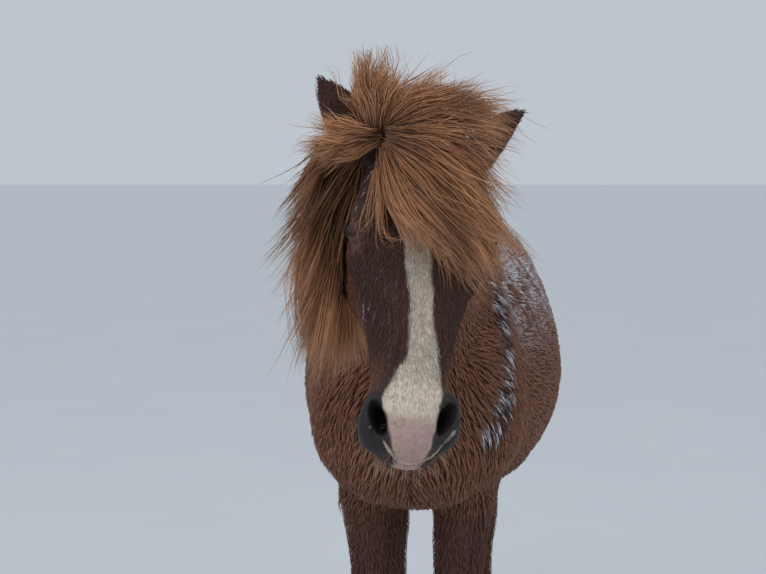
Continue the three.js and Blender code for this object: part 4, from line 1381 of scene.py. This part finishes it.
def makeHair(name, lines, half, finish, random):
    tone = random.rand(len(lines))
    width = half * (0.55 + 0.9 * random.rand(len(lines)))
    mesh = strandMesh(name, lines, width, tone, rootSpots(lines, random), random)
    pieceFrom(name, mesh, finish)
    print(name, len(lines), "strands")


def tailLines(random):
    count, points = tail["count"], tail["points"]
    spine = resampled(tail["spine"], 40)
    places = np.linspace(0, 1, 40)
    stations = np.linspace(0, 1, len(tail["half"]))
    lock = random.randint(0, tail["locks"], count)
    lockAngle = random.rand(tail["locks"]) * 2 * math.pi
    angle = lockAngle[lock] + random.normal(size=count) * 0.22
    reach = np.sqrt(random.rand(count)) * 0.45 + 0.55
    start = random.rand(count) ** 1.6 * 0.30
    end = start + (1.02 - start) * (0.62 + 0.38 * np.sqrt(random.rand(tail["locks"])[lock]))
    share = start[:, None] + (end - start)[:, None] * np.linspace(0, 1, points)
    centre = np.stack([np.interp(share, places, spine[:, axis]) for axis in range(3)], axis=-1)
    half = np.interp(share, stations, tail["half"])
    deep = np.interp(share, stations, tail["deep"])
    opened = reach[:, None] * (0.35 + 0.65 * smooth(0.0, 0.35, np.linspace(0, 1, points)))[None]
    wave = np.sin(share * 9 + lockAngle[lock][:, None] * 5) * tail["wave"]
    x = centre[..., 0] + np.cos(angle)[:, None] * half * opened + wave
    y = centre[..., 1] + np.sin(angle)[:, None] * deep * opened
    lines = np.stack([x, y, centre[..., 2]], axis=-1) + centring
    return lines + random.normal(size=lines.shape) * 0.0016


def sunk(places, surface):
    # the mane's mass kept close over the neck, and under the skin towards the withers
    for row, place in enumerate(places):
        near, normal, _, _ = surface.find_nearest(Vector(place))
        above = (Vector(place) - near).dot(normal)
        over = hairCore["over"] * smooth(-0.50, -0.68, place[1] - centring[1]) - 0.004
        if above > over:
            places[row] = np.array(near + normal * over)
    return places


def makeCores(finish, surface):
    # the mass of hair under the outer strands, coloured dark as painted shade between them
    for name in ("forelock", "mane_left", "mane_right", "tail"):
        work = mergedNode(name)
        mesh = bpy.data.meshes.new(name)
        work.to_mesh(mesh)
        work.free()
        mesh = modified(mesh, "REMESH", mode="VOXEL", voxel_size=hairCore["voxel"], adaptivity=0)
        places, edges = readMesh(mesh)
        places = relax(places, edges, np.full(len(places), 0.9), hairCore["rounds"])
        writePlaces(mesh, places)
        places = places - normalsOf(mesh) * hairCore["inset"]
        places = relax(places, edges, np.full(len(places), 0.8), 6)
        if name != "tail":
            places = sunk(places, surface)
        writePlaces(mesh, places)
        mesh = modified(mesh, "DECIMATE", ratio=0.25)
        mesh.shade_smooth()
        pieceFrom(name + "_core", mesh, finish, [name])


def makeLongHair(skin, finish, coreShadeFinish):
    random = np.random.RandomState(21)
    surface = BVHTree.FromPolygons([v.co for v in skin.vertices], [p.vertices for p in skin.polygons])
    crown = [np.array(g) + centring for g in shock["lines"]]
    plans = (
        ("forelock_sweep", [pictured(g) for g in forelock["lines"]], forelock, 0.014),
        ("forelock_wisps", [pictured(g) for g in wisps["lines"]], wisps, 0.004),
        ("forelock_crown", crown, shock, 0.012),
        ("mane_cheek", [pictured(g) for g in cheekMane["lines"]], cheekMane, 0.010),
        ("mane_fall_right", maneGuides(maneRight), maneRight, 0.015),
        ("mane_fall_left", maneGuides(maneLeft), maneLeft, 0.012),
    )
    for name, guides, settings, clearance in plans:
        lines = growLocks(guides, settings["count"], random, settings)
        lines = pushedOut(lines, surface, clearance, random)
        if settings is not wisps:
            lines = cleared(lines, random)
        makeHair(name, lines, settings["half"], finish, random)
    makeHair("tail_hair", tailLines(random), tail["strand"], finish, random)
    makeCores(coreShadeFinish, surface)


hairColours = {
    "root": srgb(84, 51, 36),
    "body": srgb(172, 114, 78),
    "tip": srgb(216, 164, 122),
    "gold": srgb(226, 158, 100),
}


def hairFinish():
    made = Finish("long_hair", Roughness=0.46, Specular_IOR_Level=0.45)
    where = made.node("TexCoord", output=3)
    along, tone = [made.attribute("fibre", part) for part in (1, 2)]
    streak = made.noise(made.drawn(made.vector("fibre"), 1.6, 3.0, 41.0), 2.0, 2.0)
    patch = made.noise(made.drawn(where, 13.0, 13.0, 4.0), 1.0, 3.0)
    x, z = [made.node("SeparateXYZ", inputs={0: where}, output=axis) for axis in (0, 2)]
    length = (along * 1.1 + (tone - 0.5) * 0.5).clamped()
    colour = made.mix(length.between(0.0, 0.55), hairColours["root"], hairColours["body"])
    colour = made.mix(length.between(0.45, 1.0) * 0.8, colour, hairColours["tip"])
    colour = made.mix((streak * tone * 1.2).clamped() * 0.6, colour, hairColours["gold"])
    colour = made.mix(patch.between(0.55, 0.35) * 0.45, colour, hairColours["root"])
    # painted shade: hair high on the right of the neck, behind the forelock, is darkened towards the root
    # colour
    paintedShade = z.between(1.27, 1.34) * z.between(1.46, 1.42) * x.between(-0.07, -0.11)
    colour = made.mix(paintedShade * 0.5, colour, hairColours["root"])
    made.wear("Base Color", colour)
    made.wear("Normal", made.bump(streak, 0.4, 0.0006))
    return made.material


def coreShadeFinish():
    made = Finish("hair_core_shade", Roughness=0.8, Specular_IOR_Level=0.2)
    where = made.node("TexCoord", output=3)
    streak = made.noise(made.drawn(where, 210.0, 210.0, 30.0), 1.0, 3.0)
    # painted shade: dark browns that stand for the shadow inside the hair mass
    made.wear("Base Color", made.mix(streak, srgb(40, 26, 20), srgb(92, 60, 42)))
    made.wear("Normal", made.bump(streak, 0.8, 0.004))
    return made.material


# Whiskers and lashes

bristles = {"muzzle": 150, "long": 0.031, "half": 0.00036, "nostrilClear": (0.022, 0.06, 0.036),
            "lashes": 44, "lashLong": 0.011}


def makeBristles(skin, finish):
    random = np.random.RandomState(31)
    places, _ = readMesh(skin)
    normals = normalsOf(skin)
    local = toHead(places)
    down = -local[:, 2]
    chin = (down > 0.47) & (local[:, 1] > -0.03) & (regions(places)["muzzle"] > 0.5)
    chin &= ~byNostril(local, bristles["nostrilClear"])
    chosen = random.permutation(np.nonzero(chin)[0])[: bristles["muzzle"]]
    lines = []
    share = np.linspace(0, 1, 5)[:, None]
    for vertex in chosen:
        root, out = places[vertex], normals[vertex]
        reach = bristles["long"] * (0.5 + 0.8 * random.rand())
        droop = headTurn @ np.array([0.0, 0.3, -0.6]) + random.normal(size=3) * 0.25
        lines.append(root + out * reach * share * (1 - 0.35 * share) + droop * reach * 0.55 * share ** 2)
    for side in (-1, 1):
        centre, outward, nasal, above = eyeAxes(side)
        count = bristles["lashes"]
        for place in np.linspace(-0.82, 0.72, count) + random.normal(size=count) * 0.01:
            along = place * eyeShape["halfLong"]
            up = eyeShape["upper"] * math.sqrt(max(0.0, 1 - abs(place) ** 1.7))
            out = math.sqrt((eyeShape["radius"] + 0.002) ** 2 - along ** 2 - up ** 2)
            root = centre + nasal * along + above * up + outward * out
            reach = bristles["lashLong"] * (0.6 + 0.5 * random.rand())
            ray = unit(outward * 0.9 + above * 0.25 + nasal * (0.5 * place) + random.normal(size=3) * 0.08)
            lines.append(root + ray * reach * share - above * reach * 0.5 * share ** 2)
    lines = np.array(lines)
    half = np.full(len(lines), bristles["half"])
    tone = np.where(np.arange(len(lines)) < bristles["muzzle"], 1.0, 0.0)
    mesh = strandMesh("bristles", lines, half, tone, rootSpots(lines, random), random)
    pieceFrom("bristles", mesh, finish)


def bristleFinish():
    made = Finish("bristle", Roughness=0.5)
    along, tone = made.attribute("fibre", 1), made.attribute("fibre", 2)
    made.wear("Base Color", made.mix(along.between(0.0, 0.6) * tone, srgb(52, 40, 36), srgb(172, 150, 130)))
    return made.material


# Light and floor

studio = {
    "floor": srgb(240, 242, 243),
    "sky": srgb(190, 197, 205),
    "skyStrength": 1.0,
    # power, width and place of each lamp
    "lamps": {"key": (46.0, 3.0, (-1.6, -3.2, 3.6)), "fill": (16.0, 4.0, (2.6, -1.6, 2.6))},
}


def makeStudio():
    floorMesh = bpy.data.meshes.new("floor")
    work = bmesh.new()
    bmesh.ops.create_grid(work, x_segments=8, y_segments=8, size=400)
    work.to_mesh(floorMesh)
    work.free()
    floor = bpy.data.objects.new("floor", floorMesh)
    bpy.context.scene.collection.objects.link(floor)
    made = Finish("floor", Roughness=0.85, Specular_IOR_Level=0.2)
    where = made.node("TexCoord", output=3)
    made.wear("Base Color", made.mix(made.noise(where, 1.4), studio["floor"], srgb(233, 236, 238)))
    floorMesh.materials.append(made.material)
    bpy.context.scene.view_settings.view_transform = "Standard"
    world = bpy.data.worlds.new("studio")
    bpy.context.scene.world = world
    world.use_nodes = True
    world.node_tree.nodes["Background"].inputs[0].default_value = studio["sky"]
    world.node_tree.nodes["Background"].inputs[1].default_value = studio["skyStrength"]
    for name, (power, size, place) in studio["lamps"].items():
        light = bpy.data.lights.new(name, "AREA")
        light.energy, light.size = power, size
        lamp = bpy.data.objects.new(name, light)
        lamp.location = place
        lamp.rotation_euler = (Vector((0, -0.3, 1.0)) - Vector(place)).to_track_quat("-Z", "Y").to_euler()
        bpy.context.scene.collection.objects.link(lamp)


makeCamera()
makeStudio()
fineSkin = makeFineSkin()
skinMesh = makeSkin(fineSkin)
pieceFrom("skin", skinMesh, skinFinish(), fleshNodes)
makeCoat(fineSkin, coatFinish())
print("coat made")
makeEyes(eyeFinish())
makeLids(lidFinish())
makeHooves(hornFinish())
makeBristles(skinMesh, bristleFinish())
makeLongHair(skinMesh, hairFinish(), coreShadeFinish())
bpy.data.meshes.remove(fineSkin)
